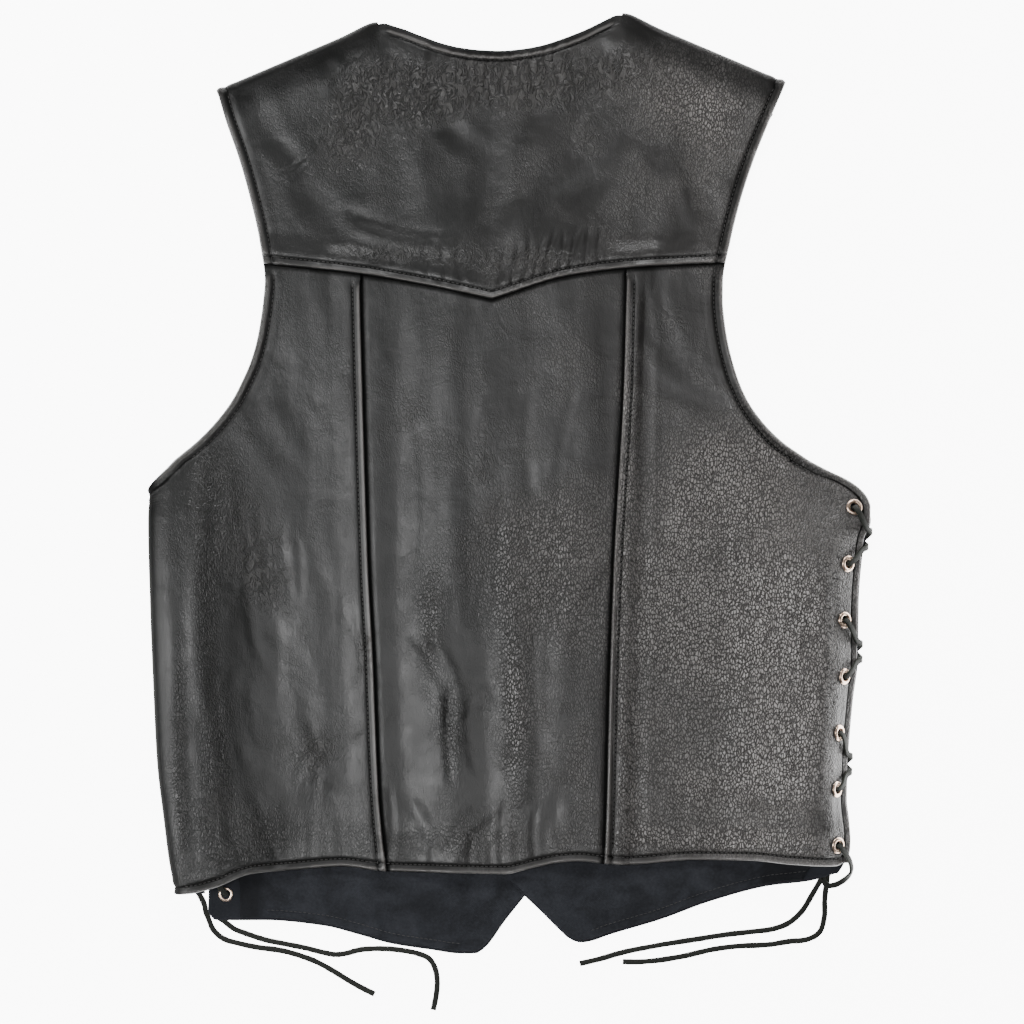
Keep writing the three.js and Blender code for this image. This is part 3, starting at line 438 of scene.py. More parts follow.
CENTRE_CREASES = (
    (-50, -40, -44, -286, 19, -1.9, 6), (-2, -20, 4, -280, 17, -1.3, -6),
    (46, -40, 56, -286, 16, -1.2, 5), (-88, 130, -86, 20, 13, 0.6, 3), (-4, 128, -14, 40, 15, -0.6, 4),
    (40, 128, 30, 50, 15, -0.6, -4), (-62, -126, -45, -174, 5, 1.2, -4),
    (-28, -144, -16, -168, 6, -0.5, 3), (-34, -176, -12, -172, 3, 0.25, -3),
    (-47, -164, -46, -216, 3.2, 0.9, 1), (-40, -172, -36, -210, 5, -0.8, 2),
    (-6, -246, -6, -284, 2.6, 0.9, 1), (-91, -236, -92, -284, 3, 1.0, -2),
    (17, -252, 18, -282, 2.8, 0.7, 1), (53, -130, 52, -268, 9, 1.0, 4), (5, -118, 8, -226, 6, -0.9, -3),
    (-54, -86, -52, -134, 6, -0.9, 2), (-84, 110, -78, -232, 9, 1.0, 5),
    (-28, 120, -34, 10, 10, 0.4, 4), (-48, 96, -44, -60, 7, -0.35, -4), (24, 120, 40, 20, 10, 0.35, -5),
    (62, 130, 62, 10, 8, -0.5, 3), (28, 6, 26, -96, 8, -0.7, 4), (-10, 4, -14, -100, 7, 0.6, -3),
    (64, -60, 40, -110, 7, -0.8, 4), (-22, -250, -40, -276, 5, -0.8, 2),
    (-70, -246, -56, -280, 5, 0.7, -2), (34, -246, 44, -276, 5, 0.6, 2),
    (-30, -268, -31, -286, 2.4, 0.6, 0), (-16, -272, -15, -287, 2.2, 0.5, 0),
    (-58, -272, -60, -287, 2.6, 0.5, 0), (4, -270, 5, -285, 2.2, 0.4, 0),
    (30, -66, 16, -150, 3.4, 0.4, 3), (2, -60, -2, -110, 2.8, 0.35, 2),
    (-20, -40, -24, -92, 3.0, 0.35, -2), (44, 60, 36, -20, 3.4, 0.35, 3),
    (-70, 40, -66, -50, 4, 0.4, -3), (16, 70, 14, 0, 4, 0.4, 3),
)
LEFT_CREASES = (
    (-232, 6, -222, -268, 8, -1.2, 6), (-178, 20, -160, -190, 22, -1.3, -8),
    (-140, -210, -200, -262, 16, -1.0, 5), (-234, -44, -230, -162, 5, -0.9, 3),
    (-230, -162, -217, -258, 5, -0.9, -3), (-246, -110, -238, -270, 4.5, 0.8, 2),
    (-226, 4, -222, -36, 4, 0.6, 2), (-214, 10, -212, -34, 4.5, -0.6, -2),
    (-240, -6, -236, -40, 4, 0.6, 1), (-172, -42, -166, -80, 3, 0.6, 1),
    (-160, -46, -158, -84, 2.6, 0.5, -1), (-196, -56, -192, -120, 4, 0.6, 3),
    (-180, -96, -176, -150, 5, 0.5, -3), (-158, -190, -136, -222, 5, -1.0, 2),
    (-150, -184, -146, -226, 3, 0.6, -2), (-138, -190, -158, -214, 3, 0.5, 2),
    (-216, -244, -198, -282, 4, 0.8, 3), (-200, -240, -186, -280, 5, -0.7, 2),
    (-186, -246, -176, -282, 4, 0.6, -2), (-222, -262, -214, -292, 3, 0.6, 1),
    (-206, -262, -202, -288, 2.6, 0.5, 0), (-170, -262, -168, -284, 3, 0.5, 0),
    (-150, -260, -150, -282, 3.2, 0.5, 0), (-128, -262, -127, -282, 3, 0.4, 0),
    (-120, -30, -121, -110, 5, 0.5, 2), (-118, -110, -114, -150, 2.6, 0.6, -2),
    (-176, 120, -166, 60, 9, 0.6, 4), (-140, 130, -138, 40, 9, -0.6, -4),
    (-190, 60, -176, 24, 8, 0.6, 3), (-150, 20, -146, -60, 8, 0.5, 4),
    (-208, -150, -200, -206, 5, 0.5, 3), (-170, -120, -150, -170, 7, 0.5, -4),
    (-132, -230, -124, -262, 6, 0.5, 2), (-238, -210, -228, -262, 3, 0.5, 1),
    (-188, -14, -186, -54, 3.2, 0.4, 2), (-202, -24, -198, -70, 3, 0.4, -2),
)
RIGHT_CREASES = (
    (92.5, 130, 82.5, -276, 4.2, -1.1, 1.5), (102, 130, 94, -276, 4.6, 0.9, -1),
    (168, -262, 192, -262, 2.4, 0.7, 3),
    (160, -228, 186, -246, 6, 0.8, 4), (236, -66, 238, -126, 5, -0.6, 2), (234, -160, 232, -226, 5, -0.7, -2),
    (216, -40, 222, -120, 8, 0.6, 3), (214, -150, 210, -230, 8, 0.6, -3), (150, 60, 190, 20, 9, 0.6, -3),
    (196, 14, 226, -14, 6, 0.5, 3), (120, 40, 128, -60, 9, 0.5, 4), (150, -20, 166, -110, 8, 0.5, -5),
    (184, -30, 190, -100, 8, -0.5, 4), (112, -90, 118, -180, 9, 0.5, 3), (140, -130, 150, -210, 8, -0.5, -4),
    (176, -140, 184, -200, 8, 0.5, 3), (110, 120, 140, 80, 8, 0.5, 4), (128, -236, 134, -272, 6, 0.5, 2),
    (206, -240, 216, -276, 6, 0.6, -2), (98, -250, 100, -280, 4, 0.5, 0), (146, -256, 147, -279, 3, 0.4, 0),
    (184, -262, 184, -280, 2.8, 0.4, 0), (202, -200, 220, -216, 4, 0.5, 2), (112, 146, 118, 120, 5, 0.4, 1),
)
FRONT_CREASES = (
    (-120, 60, -150, -60, 12, 0.5, 5), (-60, -40, -90, -190, 12, 0.5, -6),
    (-180, -40, -160, -160, 10, 0.5, 5), (-30, -120, -50, -260, 9, 0.45, 4),
    (-140, -180, -110, -270, 9, 0.45, -4), (-150, 200, -110, 130, 11, 0.5, 4),
    (110, 70, 150, -50, 12, 0.5, -5), (60, -30, 90, -180, 12, 0.5, 6),
    (180, -60, 150, -170, 10, 0.5, 5), (40, -130, 60, -250, 9, 0.45, -4),
    (130, -190, 110, -270, 9, 0.45, 4), (130, 210, 100, 130, 11, 0.5, -4),
)


def soft_noise(x, y, long, wide, seed, detail=2):
    """Smooth unevenness between about -1 and 1, with its own length along y and width along x."""
    x, y = np.broadcast_arrays(x, y)
    total = np.zeros(x.shape)
    for octave in range(detail):
        grow = 2.0**octave
        pairs = zip((x * grow / wide).ravel(), (y * grow / long).ravel())
        level = seed + 7.3 * octave
        values = [noise.noise((a, b, level)) for a, b in pairs]
        total += np.array(values).reshape(x.shape) / grow
    return total


def creased(x, y, rows):
    return sum(trough(x, y, *row[:6], bow=row[6], past=2.2 * row[4] + 3, shoulders=0.4) for row in rows)


def back_relief(u, y):
    """The back's creases and unevenness, the same for all its panels, so that lapped ones stay apart."""
    settings = bpy.context.scene.vest_sizes
    creases = creased(u, y, CENTRE_CREASES) + 0.75 * creased(u, y, LEFT_CREASES)
    creases = creases + 1.2 * creased(u, y, RIGHT_CREASES)
    on_top = ease((y - yoke_low(u) + 4) / 12)
    creases = creases * (1 - on_top) + 1.7 * creased(u, y, YOKE_CREASES) * on_top
    swell = 0.5 * soft_noise(u, y, 90, 42, 3.1) + 0.26 * soft_noise(u, y, 30, 13, 8.6)
    rough = 0.16 * ease(grain_patches(u, y) * 1.5) * soft_noise(u, y, 9, 4.6, 1.7)
    laced_left = ease((u - left_crest(y) + 34) / 14)
    laced_right = 1 - 0.92 * ease((u - right_crest(y) - 2) / 8) * ease((40 - y) / 30)
    at_fold = ease((top_line(u) - y) / 9)
    return settings.crease_depth * (creases + swell + rough) * laced_left * laced_right * at_fold


# Where the leather's pebbles stand out, and where it is crinkled: (x, y, half width, half height, strength)
GRAIN_PATCHES = (
    (128, 285, 52, 30, 0.5), (150, 262, 20, 40, 0.4), (-120, 250, 40, 30, 0.4), (168, 0, 56, 48, 1.0),
    (150, -105, 72, 70, 1.1), (210, -150, 26, 90, 0.9), (88, -90, 7, 190, 1.0), (165, -215, 60, 40, 0.55),
    (-228, -90, 9, 100, 0.9), (-216, -20, 22, 36, 0.8), (-220, -220, 10, 60, 0.9), (-247, -200, 6, 90, 0.8),
    (-150, -205, 20, 22, 0.5), (-196, -262, 36, 22, 0.8), (0, -60, 46, 60, 0.6), (4, -150, 10, 90, 0.9),
    (-45, -190, 10, 40, 0.8), (-60, -105, 9, 50, 0.7), (46, -60, 22, 60, 0.6), (-60, -266, 60, 14, 0.5),
    (150, -268, 90, 10, 0.8), (52, -205, 12, 50, 0.3),
)
CRINKLE_PATCHES = (
    (-92, 300, 36, 22, 1.1), (-66, 288, 30, 22, 0.9), (-118, 268, 26, 26, 0.8), (-20, 304, 44, 20, 0.9),
    (24, 302, 36, 22, 1.0), (66, 306, 20, 18, 0.5), (92, 314, 26, 20, 0.8), (122, 292, 26, 18, 0.6),
    (60, 262, 18, 24, 0.5), (140, 236, 24, 24, 0.35), (-100, 172, 34, 9, 0.5), (-24, 168, 60, 12, 0.35),
    (30, 168, 40, 14, 0.5), (-190, -60, 26, 50, 0.45), (-150, -204, 20, 20, 0.5), (120, 118, 20, 30, 0.4),
    (-110, -120, 8, 26, 0.5), (-16, 10, 24, 60, 0.35),
)


def patches(x, y, rows, least):
    total = least
    for px, py, wide, high, strength in rows:
        total = total + strength * np.exp(-(((x - px) / wide) ** 2 + ((y - py) / high) ** 2) * 1.2)
    return np.clip(total, 0, 1)


def grain_patches(x, y):
    return patches(x, y, GRAIN_PATCHES, 0.1)


def crinkle_patches(x, y):
    return patches(x, y, CRINKLE_PATCHES, 0.0)


# Thickness over the leather's middle surface, by distance from an edge
folded_edge = Curve(
    (0, 0.05), (0.35, 0.75), (0.9, 1.4), (1.5, 1.65), (2.4, 1.35), (3.6, 0.85), (4.7, 0.6), (5.6, 0.12),
    (6.4, 0.2), (7.4, 0.8), (9, 1.0), (14, half),
)
seam_edge = Curve(
    (0, 0.05), (0.35, 1.1), (0.9, 1.9), (1.5, 2.1), (2.4, 1.6), (3.6, 0.9), (4.7, 0.55), (5.6, 0.1),
    (6.4, 0.2),
    (7.4, 0.8), (9, 1.0), (14, half),
)
rolled_edge = Curve(
    (0, 0.05), (0.5, 0.8), (1.3, 1.5), (2.4, 1.9), (3.6, 1.75), (4.8, 1.2), (6, 0.5), (6.9, 0.05), (7.7, 0.4),
    (9.2, 0.95), (11.5, 1.05), (15, half),
)
neck_roll = Curve(
    (0, 0.05), (1, 0.7), (2.5, 1.2), (4, 1.6), (5.3, 1.85), (6.2, 1.4), (7.2, 0.2), (8, 0.3), (9.5, 0.95),
    (14, half),
)
right_arm_roll = Curve(
    (0, 0.05), (0.5, 1.1), (1.5, 1.8), (2.6, 1.4), (4, 0.9), (5.6, 0.4), (6.8, 0.05), (7.7, 0.3), (9.2, 0.85),
    (11.5, 0.95), (15, half),
)
EDGE_STEPS = (0, 0.35, 0.9, 1.5, 2.4, 3.6, 4.7, 5.6, 6.4, 7.2, 8, 9.2)
SEAM_STEPS = (0, 4, 8, 9.4, 10.4, 11.6, 13, 14.6)
folded_stitch, rolled_stitch = 5.9, 6.9


def from_line(line, y, x):
    return np.abs(x - line(y)) / steep(line, y)


def from_level(line, x, y):
    return np.abs(y - line(x)) / steep(line, x)


def between(first, last, step_count):
    """Stations spread evenly between two, each a share of the width and a distance from there."""
    shares = np.arange(1, step_count + 1) / (step_count + 1)
    return [tuple(np.array(first) * (1 - t) + np.array(last) * t) for t in shares]


def low_edge(steps=EDGE_STEPS):
    return [(0, d) for d in steps]


def high_edge(steps=EDGE_STEPS):
    return [(1, -d) for d in reversed(steps)]


def banded(step_count, low=EDGE_STEPS, high=EDGE_STEPS):
    return [*low_edge(low), *between((0, low[-1]), (1, -high[-1]), step_count), *high_edge(high)]


MOST_SLANT = 2.2


def slant(line, y):
    return np.minimum(MOST_SLANT, steep(line, y))


def patch(left, right, low, high, columns, rows):
    """Pattern coordinates of a four-sided panel between four lines, as two grids."""
    share, distance = np.array(columns, float).T
    up_share, up_distance = (v[:, None] for v in np.array(rows, float).T)
    x = left(0.0) + share * (right(0.0) - left(0.0)) + 0 * up_share
    y = np.zeros_like(x)
    for _ in range(60):
        start = left(y)
        along = distance * np.where(distance > 0, slant(left, y), slant(right, y))
        x = x + 0.6 * (start + share * (right(y) - start) + along - x)
        base = low(x)
        y = y + 0.6 * (base + up_share * (high(x) - base) + up_distance - y)
    return x, y


def grid_normals(points):
    along = np.gradient(points, axis=1)
    up = np.gradient(points, axis=0)
    normals = np.cross(along, up)
    return normals / np.maximum(np.linalg.norm(normals, axis=-1, keepdims=True), 1e-9)


def punched(x, y, centres, radius):
    """Moves the stations round holes out to the holes' rims. Also says which stations lie inside."""
    inside = np.zeros(x.shape, bool)
    for cx, cy in centres:
        dx, dy = x - cx, y - cy
        r = np.maximum(np.hypot(dx, dy), 1e-6)
        here = r < radius
        x, y = np.where(here, cx + dx * radius / r, x), np.where(here, cy + dy * radius / r, y)
        inside |= here
    return x, y, inside


def mesh_of(name, bm):
    mesh = bpy.data.meshes.new(name)
    bm.to_mesh(mesh)
    bm.free()
    return mesh


def station(place, count):
    """Which of a grid's even stations lies at a place between -1 and 1."""
    return round((place + 1) / 2 * (count - 1))


def finish_object(name, mesh, materials, body="root"):
    piece = bpy.data.objects.new(name, mesh)
    bpy.context.scene.collection.objects.link(piece)
    for material in materials:
        mesh.materials.append(material)
    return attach(piece, body)


def add_values(mesh, **values):
    for name, numbers in values.items():
        attribute = mesh.attributes.new(name, "FLOAT", "POINT")
        attribute.data.foreach_set("value", np.asarray(numbers, np.float32))


def signed_volume(mesh):
    mesh.calc_loop_triangles()
    corners = np.zeros(len(mesh.loop_triangles) * 3, np.int32)
    mesh.loop_triangles.foreach_get("vertices", corners)
    co = np.zeros(len(mesh.vertices) * 3)
    mesh.vertices.foreach_get("co", co)
    a, b, c = co.reshape(-1, 3)[corners.reshape(-1, 3)].transpose(1, 0, 2)
    return float(np.einsum("ij,ij->i", a, np.cross(b, c)).sum() / 6)


def shell(name, upper, lower, materials, keep=None, values=None, sharp=50):
    """A closed wall between two equal grids of points: a grid of faces is pushed through once."""
    rows, cols = upper.shape[:2]
    bm = bmesh.new()
    bmesh.ops.create_grid(bm, x_segments=cols - 1, y_segments=rows - 1, size=1.0)
    place = bm.verts.layers.int.new("place")
    for vertex in bm.verts:
        vertex[place] = station(vertex.co.y, rows) * cols + station(vertex.co.x, cols)
    if keep is not None:
        gone = []
        for face in bm.faces:
            low = min(vertex[place] for vertex in face.verts)
            if not keep[low // cols, low % cols]:
                gone.append(face)
        bmesh.ops.delete(bm, geom=gone, context="FACES")
    lower_faces = bm.faces[:]
    for vertex in bm.verts:
        vertex.co = lower[vertex[place] // cols, vertex[place] % cols] * MM
    pushed = bmesh.ops.extrude_face_region(bm, geom=lower_faces, use_keep_orig=True)
    for item in pushed["geom"]:
        if isinstance(item, bmesh.types.BMVert):
            item.co = upper[item[place] // cols, item[place] % cols] * MM
    for face in lower_faces:
        face.material_index = len(materials) - 1
    bmesh.ops.recalc_face_normals(bm, faces=bm.faces[:])
    mesh = mesh_of(name, bm)
    where = np.zeros(len(mesh.vertices), np.int32)
    mesh.attributes["place"].data.foreach_get("value", where)
    mesh.attributes.remove(mesh.attributes["place"])
    if signed_volume(mesh) < 0:
        raise RuntimeError(f"{name} is inside out")
    mesh.shade_smooth()
    mesh.set_sharp_from_angle(angle=math.radians(sharp))
    add_values(mesh, **{key: np.asarray(v, float).ravel()[where] for key, v in (values or {}).items()})
    return finish_object(name, mesh, materials)


class Skin:
    """A leather piece's surface: where its middle lies, its thickness over that, and its unevenness."""

    def __init__(self, place, over, relief):
        self.place, self.over, self.relief = place, over, relief

    def normal(self, u, y):
        step = 0.6
        along = self.middle(u + step, y) - self.middle(u - step, y)
        up = self.middle(u, y + step) - self.middle(u, y - step)
        normal = np.cross(along, up)
        return normal / np.maximum(np.linalg.norm(normal, axis=-1, keepdims=True), 1e-9)

    def middle(self, u, y):
        return self.place(u, y) + stack(0 * u, 0 * u, self.relief(u, y))

    def top(self, u, y, lift=0.0):
        """Points on the outer side, and the outward directions there."""
        normal = self.normal(u, y)
        return self.middle(u, y) + normal * (self.over(u, y) + lift)[..., None], normal


def pressed(u, y, centres):
    """The leather drawn in round set eyelets."""
    return 0 * u + sum(-0.3 * bell((np.hypot(u - cx, y - cy) - 6.6) / 2.4) for cx, cy in centres)


def leather_values(x, y, over, shade_to_paint=0.0):
    """How pebbled and crinkled the leather is at each point, where shade is painted on it, and how much its
    crests are lightened, partly as wear and partly as painted highlight.
    """
    # Painted shade in the stitch grooves and at the edges, where the leather is thin, and at the places
    # passed in.
    dull = np.maximum(ease((0.5 - over) / 0.4), shade_to_paint)
    return {"grain": grain_patches(x, y), "crinkle": crinkle_patches(x, y), "dull": dull,
            # Crests lightened, partly as wear and partly as painted highlight; less on the left side, which
            # is turned from the light.
            "worn": ease((over - 1.15) / 0.45) * np.where(x < -150, 0.45, 1.0)}


# Painted shade on the inboard slope of the right armhole's roll.
def right_arm_shade(x, y):
    return 0.6 * fade((np.abs(from_line(side_right, y, x) - 5.4) - 2) / 2.4) * ease((y + 4) / 14)


def leather_wall(points, normals, over):
    """The leather's upper and lower points: its under side follows where a groove is pressed in."""
    return points + normals * over[..., None], points - normals * np.minimum(half, over + 0.25)[..., None]


def panel(name, skin, x, y, materials, keep=None):
    points = skin.middle(x, y)
    over = skin.over(x, y)
    upper, lower = leather_wall(points, grid_normals(points), over)
    # Painted shade under the yoke's edge, in the centre panel's seam gaps, on the left roll's far side turned
    # from the light, and inboard of the right armhole's roll.
    shade_under_yoke = fade((yoke_low(x) - y - 1.2) / 2.6)
    past_seam = np.minimum(np.abs(x - seam_left(y)), np.abs(x - seam_right(y)))
    shade_in_seam_gap = fade((past_seam - 1.2) / 1.5) * (name == "panel_back_centre")
    shade_on_far_roll = 0.95 * ease((left_crest(y) - 5 - x) / 7)
    shade_to_paint = np.maximum(np.maximum(shade_under_yoke, shade_in_seam_gap), shade_on_far_roll)
    if name == "panel_side_right":
        shade_to_paint = np.maximum(shade_to_paint, right_arm_shade(x, y))
    return shell(name, upper, lower, materials, keep, leather_values(x, y, over, shade_to_paint))


# Eyelets: their pattern coordinates on each laced edge
def eyelet_rows(first):
    return first - eyelet_pitch * np.arange(eyelet_count)


ROWS = {"back_left": eyelet_rows(-41), "front_left": eyelet_rows(-55),
        "back_right": eyelet_rows(-17.5), "front_right": eyelet_rows(-23)}
COLUMNS = {
    "back_left": lambda y: left_crest(y) - roll_arc - roll_under + eyelet_inset,
    "front_left": lambda y: outer_front_side(y) + eyelet_inset,
    "back_right": lambda y: right_crest(y) + bend_arc + strip_arc - eyelet_inset,
    "front_right": lambda y: inner_front_side(y) - eyelet_inset,
}
PLACES = {
    "back_left": on_back, "front_left": on_outer_front, "back_right": on_back, "front_right": on_inner_front,
}
OUTWARD = {"back_left": 1, "front_left": -1, "back_right": 1, "front_right": -1}
CENTRES = {key: [(float(COLUMNS[key](y)), float(y)) for y in ROWS[key]] for key in ROWS}


def frame_on(place, u, y, outward):
    """Axes and place of a thing set through the leather. Columns: along, cross, outward."""
    u, y = np.array(u, float), np.array(y, float)
    along = unit(place(u + 0.5, y) - place(u - 0.5, y))
    up = unit(place(u, y + 0.5) - place(u, y - 0.5))
    normal = unit(np.cross(along, up)) * outward
    cross = unit(np.cross(normal, along))
    return np.column_stack([along, cross, normal]), place(u, y)


LACED = {key: [frame_on(PLACES[key], u, y, OUTWARD[key]) for u, y in CENTRES[key]] for key in CENTRES}


# Shader building
class Socket:
    """A shader value. Python's operators on it add the Math nodes."""

    def __init__(self, shader, link):
        self.shader, self.link = shader, link

    def math(self, operation, other=0.0, swap=False, clamp=False):
        values = (other, self) if swap else (self, other)
        return self.shader.node(
            "ShaderNodeMath", {"operation": operation, "use_clamp": clamp}, {0: values[0], 1: values[1]}
        )

    def __add__(self, other):
        return self.math("ADD", other)

    __radd__ = __add__

    def __sub__(self, other):
        return self.math("SUBTRACT", other)

    def __rsub__(self, other):
        return self.math("SUBTRACT", other, swap=True)

    def __mul__(self, other):
        return self.math("MULTIPLY", other)

    __rmul__ = __mul__

    def __truediv__(self, other):
        return self.math("DIVIDE", other)

    def __pow__(self, other):
        return self.math("POWER", other)

    def clamped(self):
        return self.math("ADD", 0.0, clamp=True)


class Shader:
    """One material and its nodes."""

    def __init__(self, name):
        self.material = bpy.data.materials.new(name)
        self.material.use_nodes = True
        self.tree = self.material.node_tree
        self.tree.nodes.clear()

    def node(self, kind, settings=None, sockets=None, out=0):
        node = self.tree.nodes.new(kind)
        for key, value in (settings or {}).items():
            setattr(node, key, value)
        for key, value in (sockets or {}).items():
            if isinstance(value, Socket):
                self.tree.links.new(value.link, node.inputs[key])
            else:
                node.inputs[key].default_value = value
        return Socket(self, node.outputs[out]) if node.outputs else None

    def place(self, scale=(1, 1, 1), turn=(0, 0, 0)):
        coordinates = self.node("ShaderNodeTexCoord", out="Object")
        return self.node("ShaderNodeMapping", {}, {"Vector": coordinates, "Scale": scale, "Rotation": turn})

    def value(self, name):
        return self.node("ShaderNodeAttribute", {"attribute_name": name}, out="Fac")

    def noise(self, where, scale, detail=3.0, distortion=0.0):
        sockets = {"Vector": where, "Scale": scale, "Detail": detail, "Distortion": distortion}
        return self.node("ShaderNodeTexNoise", {}, sockets)

    def cells(self, where, scale, feature="F1"):
        return self.node("ShaderNodeTexVoronoi", {"feature": feature}, {"Vector": where, "Scale": scale})

    def waves(self, where, scale, distortion, detail=2.0):
        return self.node("ShaderNodeTexWave", {"wave_type": "BANDS", "bands_direction": "X"},
                         {"Vector": where, "Scale": scale, "Distortion": distortion, "Detail": detail})

    def shifted(self, where, drift, reach):
        moved = self.node("ShaderNodeVectorMath", {"operation": "SCALE"}, {0: drift, "Scale": reach})
        return self.node("ShaderNodeVectorMath", {"operation": "ADD"}, {0: where, 1: moved})

    def blend(self, share, first, second):
        first, second = (c if isinstance(c, Socket) else (*c, 1) for c in (first, second))
        return self.node("ShaderNodeMix", {"data_type": "RGBA"}, {0: share, 6: first, 7: second}, out=2)

    def bump(self, height, strength, distance, below=None):
        sockets = {"Height": height, "Strength": strength, "Distance": distance}
        if below:
            sockets["Normal"] = below
        return self.node("ShaderNodeBump", {}, sockets)

    def principled(self, **sockets):
        names = {key.replace("_", " ").title().replace("Ior", "IOR"): value for key, value in sockets.items()}
        return self.node("ShaderNodeBsdfPrincipled", {}, names)

    def finish(self, surface):
        self.node("ShaderNodeOutputMaterial", {}, {"Surface": surface})
        return self.material

    def surface(self, **sockets):
        return self.finish(self.principled(**sockets))


def colour_of(name):
    return tuple(getattr(bpy.context.scene.vest_colours, name))


def shade(colour, factor):
    return tuple(min(1.0, c * factor) for c in colour)


def leather_finish():
    """Black pebbled leather: grain, crinkles and fine upright wrinkles. It is lighter towards the right as
    painted light, partly greyer wear; pebble and crinkle tops are lightened as painted highlight, crests
    partly as wear and partly as painted highlight, and shade is painted in grooves and between pebbles.
    """
    s = Shader("black_leather")
    pebbles_a_metre, crinkles_a_metre, wrinkles_a_metre, pores_a_metre = 540.0, 215.0, 420.0, 1500.0
    plain = s.place()
    grain, crinkle, worn, dull = (s.value(name) for name in ("grain", "crinkle", "worn", "dull"))
    wander = s.noise(plain, 11.0, 2.0)
    drift = s.node("ShaderNodeTexNoise", {}, {"Vector": plain, "Scale": 190.0, "Detail": 2.0}, out="Color")
    upright = s.shifted(s.place(scale=(1.0, 0.58, 1.0)), drift, 0.0022)
    pebbles = s.cells(upright, pebbles_a_metre, "DISTANCE_TO_EDGE")
    folds = s.noise(s.place(scale=(1.0, 0.66, 1.0), turn=(0, 0, 0.4)), crinkles_a_metre, 3.0, 1.1)
    tops = (pebbles * 5.0).clamped()
    creases = ((folds - 0.5).math("ABSOLUTE") * 9.0).clamped() ** 0.7
    pores = s.noise(plain, pores_a_metre, 2.0)
    wrinkle = s.noise(s.place(scale=(1.0, 0.3, 1.0)), wrinkles_a_metre, 3.0, 0.6)
    soft = s.noise(plain, 34.0, 3.0, 0.4)
    x_axis = s.node("ShaderNodeSeparateXYZ", {}, {"Vector": plain})
    # Painted light: the leather grows lighter towards the right, where the light falls, and partly greyer
    # with wear there.
    side = (x_axis * 3.6 + 0.3 + (wander - 0.5) * 0.7).clamped()
    uneven = (wander - 0.5) * 0.9 + (soft - 0.5) * 1.1
    pebbled = (grain * 1.3 + uneven - 0.05).clamped() * (side * 0.6 + 0.4)
    crinkled = (crinkle * 1.5 + uneven - 0.15).clamped()
    height = tops * (pebbled * 0.9 + 0.04) + creases * crinkled * 0.9
    height = height + wrinkle * (pebbled * 0.3 + 0.16) + pores * 0.06
    normal = s.bump(soft, 0.5, 0.0016)
    normal = s.bump(height, 1.0, 0.0007, normal)
    # Painted light: the colour is blended towards the lighter right side.
    base = s.blend(side, colour_of("leather"), colour_of("leather_warm"))
    # Painted highlight on pebble and crinkle tops, stronger towards the right.
    sheen_on_tops = tops * pebbled * (side * 0.75 + 0.12) + creases * crinkled * 0.12
    # Crests lightened, partly as wear and partly as painted highlight.
    wear_and_sheen = (sheen_on_tops + worn * (0.2 + wander * 0.28)).clamped()
    base = s.blend(wear_and_sheen, base, colour_of("leather_worn"))
    roughness = 0.41 - tops * pebbled * 0.08 + (soft - 0.5) * 0.2 - worn * 0.06
    open_side = s.principled(base_color=base, roughness=roughness, normal=normal, specular_ior_level=0.5)
    # Painted shade: a dark matte mix in grooves, at given shaded places, and between pebbles and crinkles.
    painted_shade_share = (dull + (1 - tops) * pebbled * 0.12 + (1 - creases) * crinkled * 0.14).clamped()
    # The colour and shader of the painted shade.
    black = (*shade(colour_of("leather"), 0.4), 1)
    deep = s.principled(base_color=black, roughness=0.9, specular_ior_level=0.06)
    return s.finish(s.node("ShaderNodeMixShader", {}, {0: painted_shade_share, 1: open_side, 2: deep}))


def flesh_finish():
    """The cloth-faced inner side of the leather."""
    s = Shader("facing_cloth")
    where = s.place()
    nap = s.noise(where, 900.0, 4.0)
    cloud = s.noise(where, 40.0, 3.0)
    navy = colour_of("lining")
    base = s.blend((nap * 0.6 + cloud * 0.5 - 0.2).clamped(), shade(navy, 0.75), shade(navy, 1.45))
    normal = s.bump(nap + cloud * 0.6, 0.5, 0.0004)
    return s.surface(base_color=base, roughness=0.95, normal=normal, specular_ior_level=0.2)


def lining_finish():
    """Navy-charcoal twill lining."""
    s = Shader("twill_lining")
    navy = colour_of("lining")
    diagonal = s.place(turn=(0, 0, math.radians(38)))
    bands = s.waves(diagonal, 330.0, 0.6, 1.0)
    ends = s.waves(s.place(), 460.0, 0.4)
    cloud = s.noise(s.place(), 48.0, 5.0, 0.6)
    lint = s.noise(s.place(), 520.0, 2.0)
    weave = bands * 0.7 + ends * 0.3
    tone = (weave * 0.4 + (cloud - 0.38) * 1.9 + (lint - 0.5) * 0.8).clamped()
    base = s.blend(tone, shade(navy, 0.6), shade(navy, 1.5))
    base = s.blend(s.value("faced") * 0.75, base, shade(navy, 0.35))
    normal = s.bump(weave + cloud * 0.8, 0.6, 0.0003)
    return s.surface(base_color=base, roughness=0.92, normal=normal, specular_ior_level=0.25)


def metal_finish():
    """Pale gold nickel plating with scuffed spots."""
    s = Shader("pale_metal")
    spots = s.noise(s.place(), 700.0, 3.0)
    cloud = s.noise(s.place(), 160.0, 2.0)
    colour = colour_of("metal")
    base = s.blend((cloud * 1.4 - 0.2).clamped(), shade(colour, 0.78), colour)
    normal = s.bump(spots, 0.25, 0.0002)
    return s.surface(base_color=base, metallic=1.0, roughness=0.2 + spots * 0.22, normal=normal)


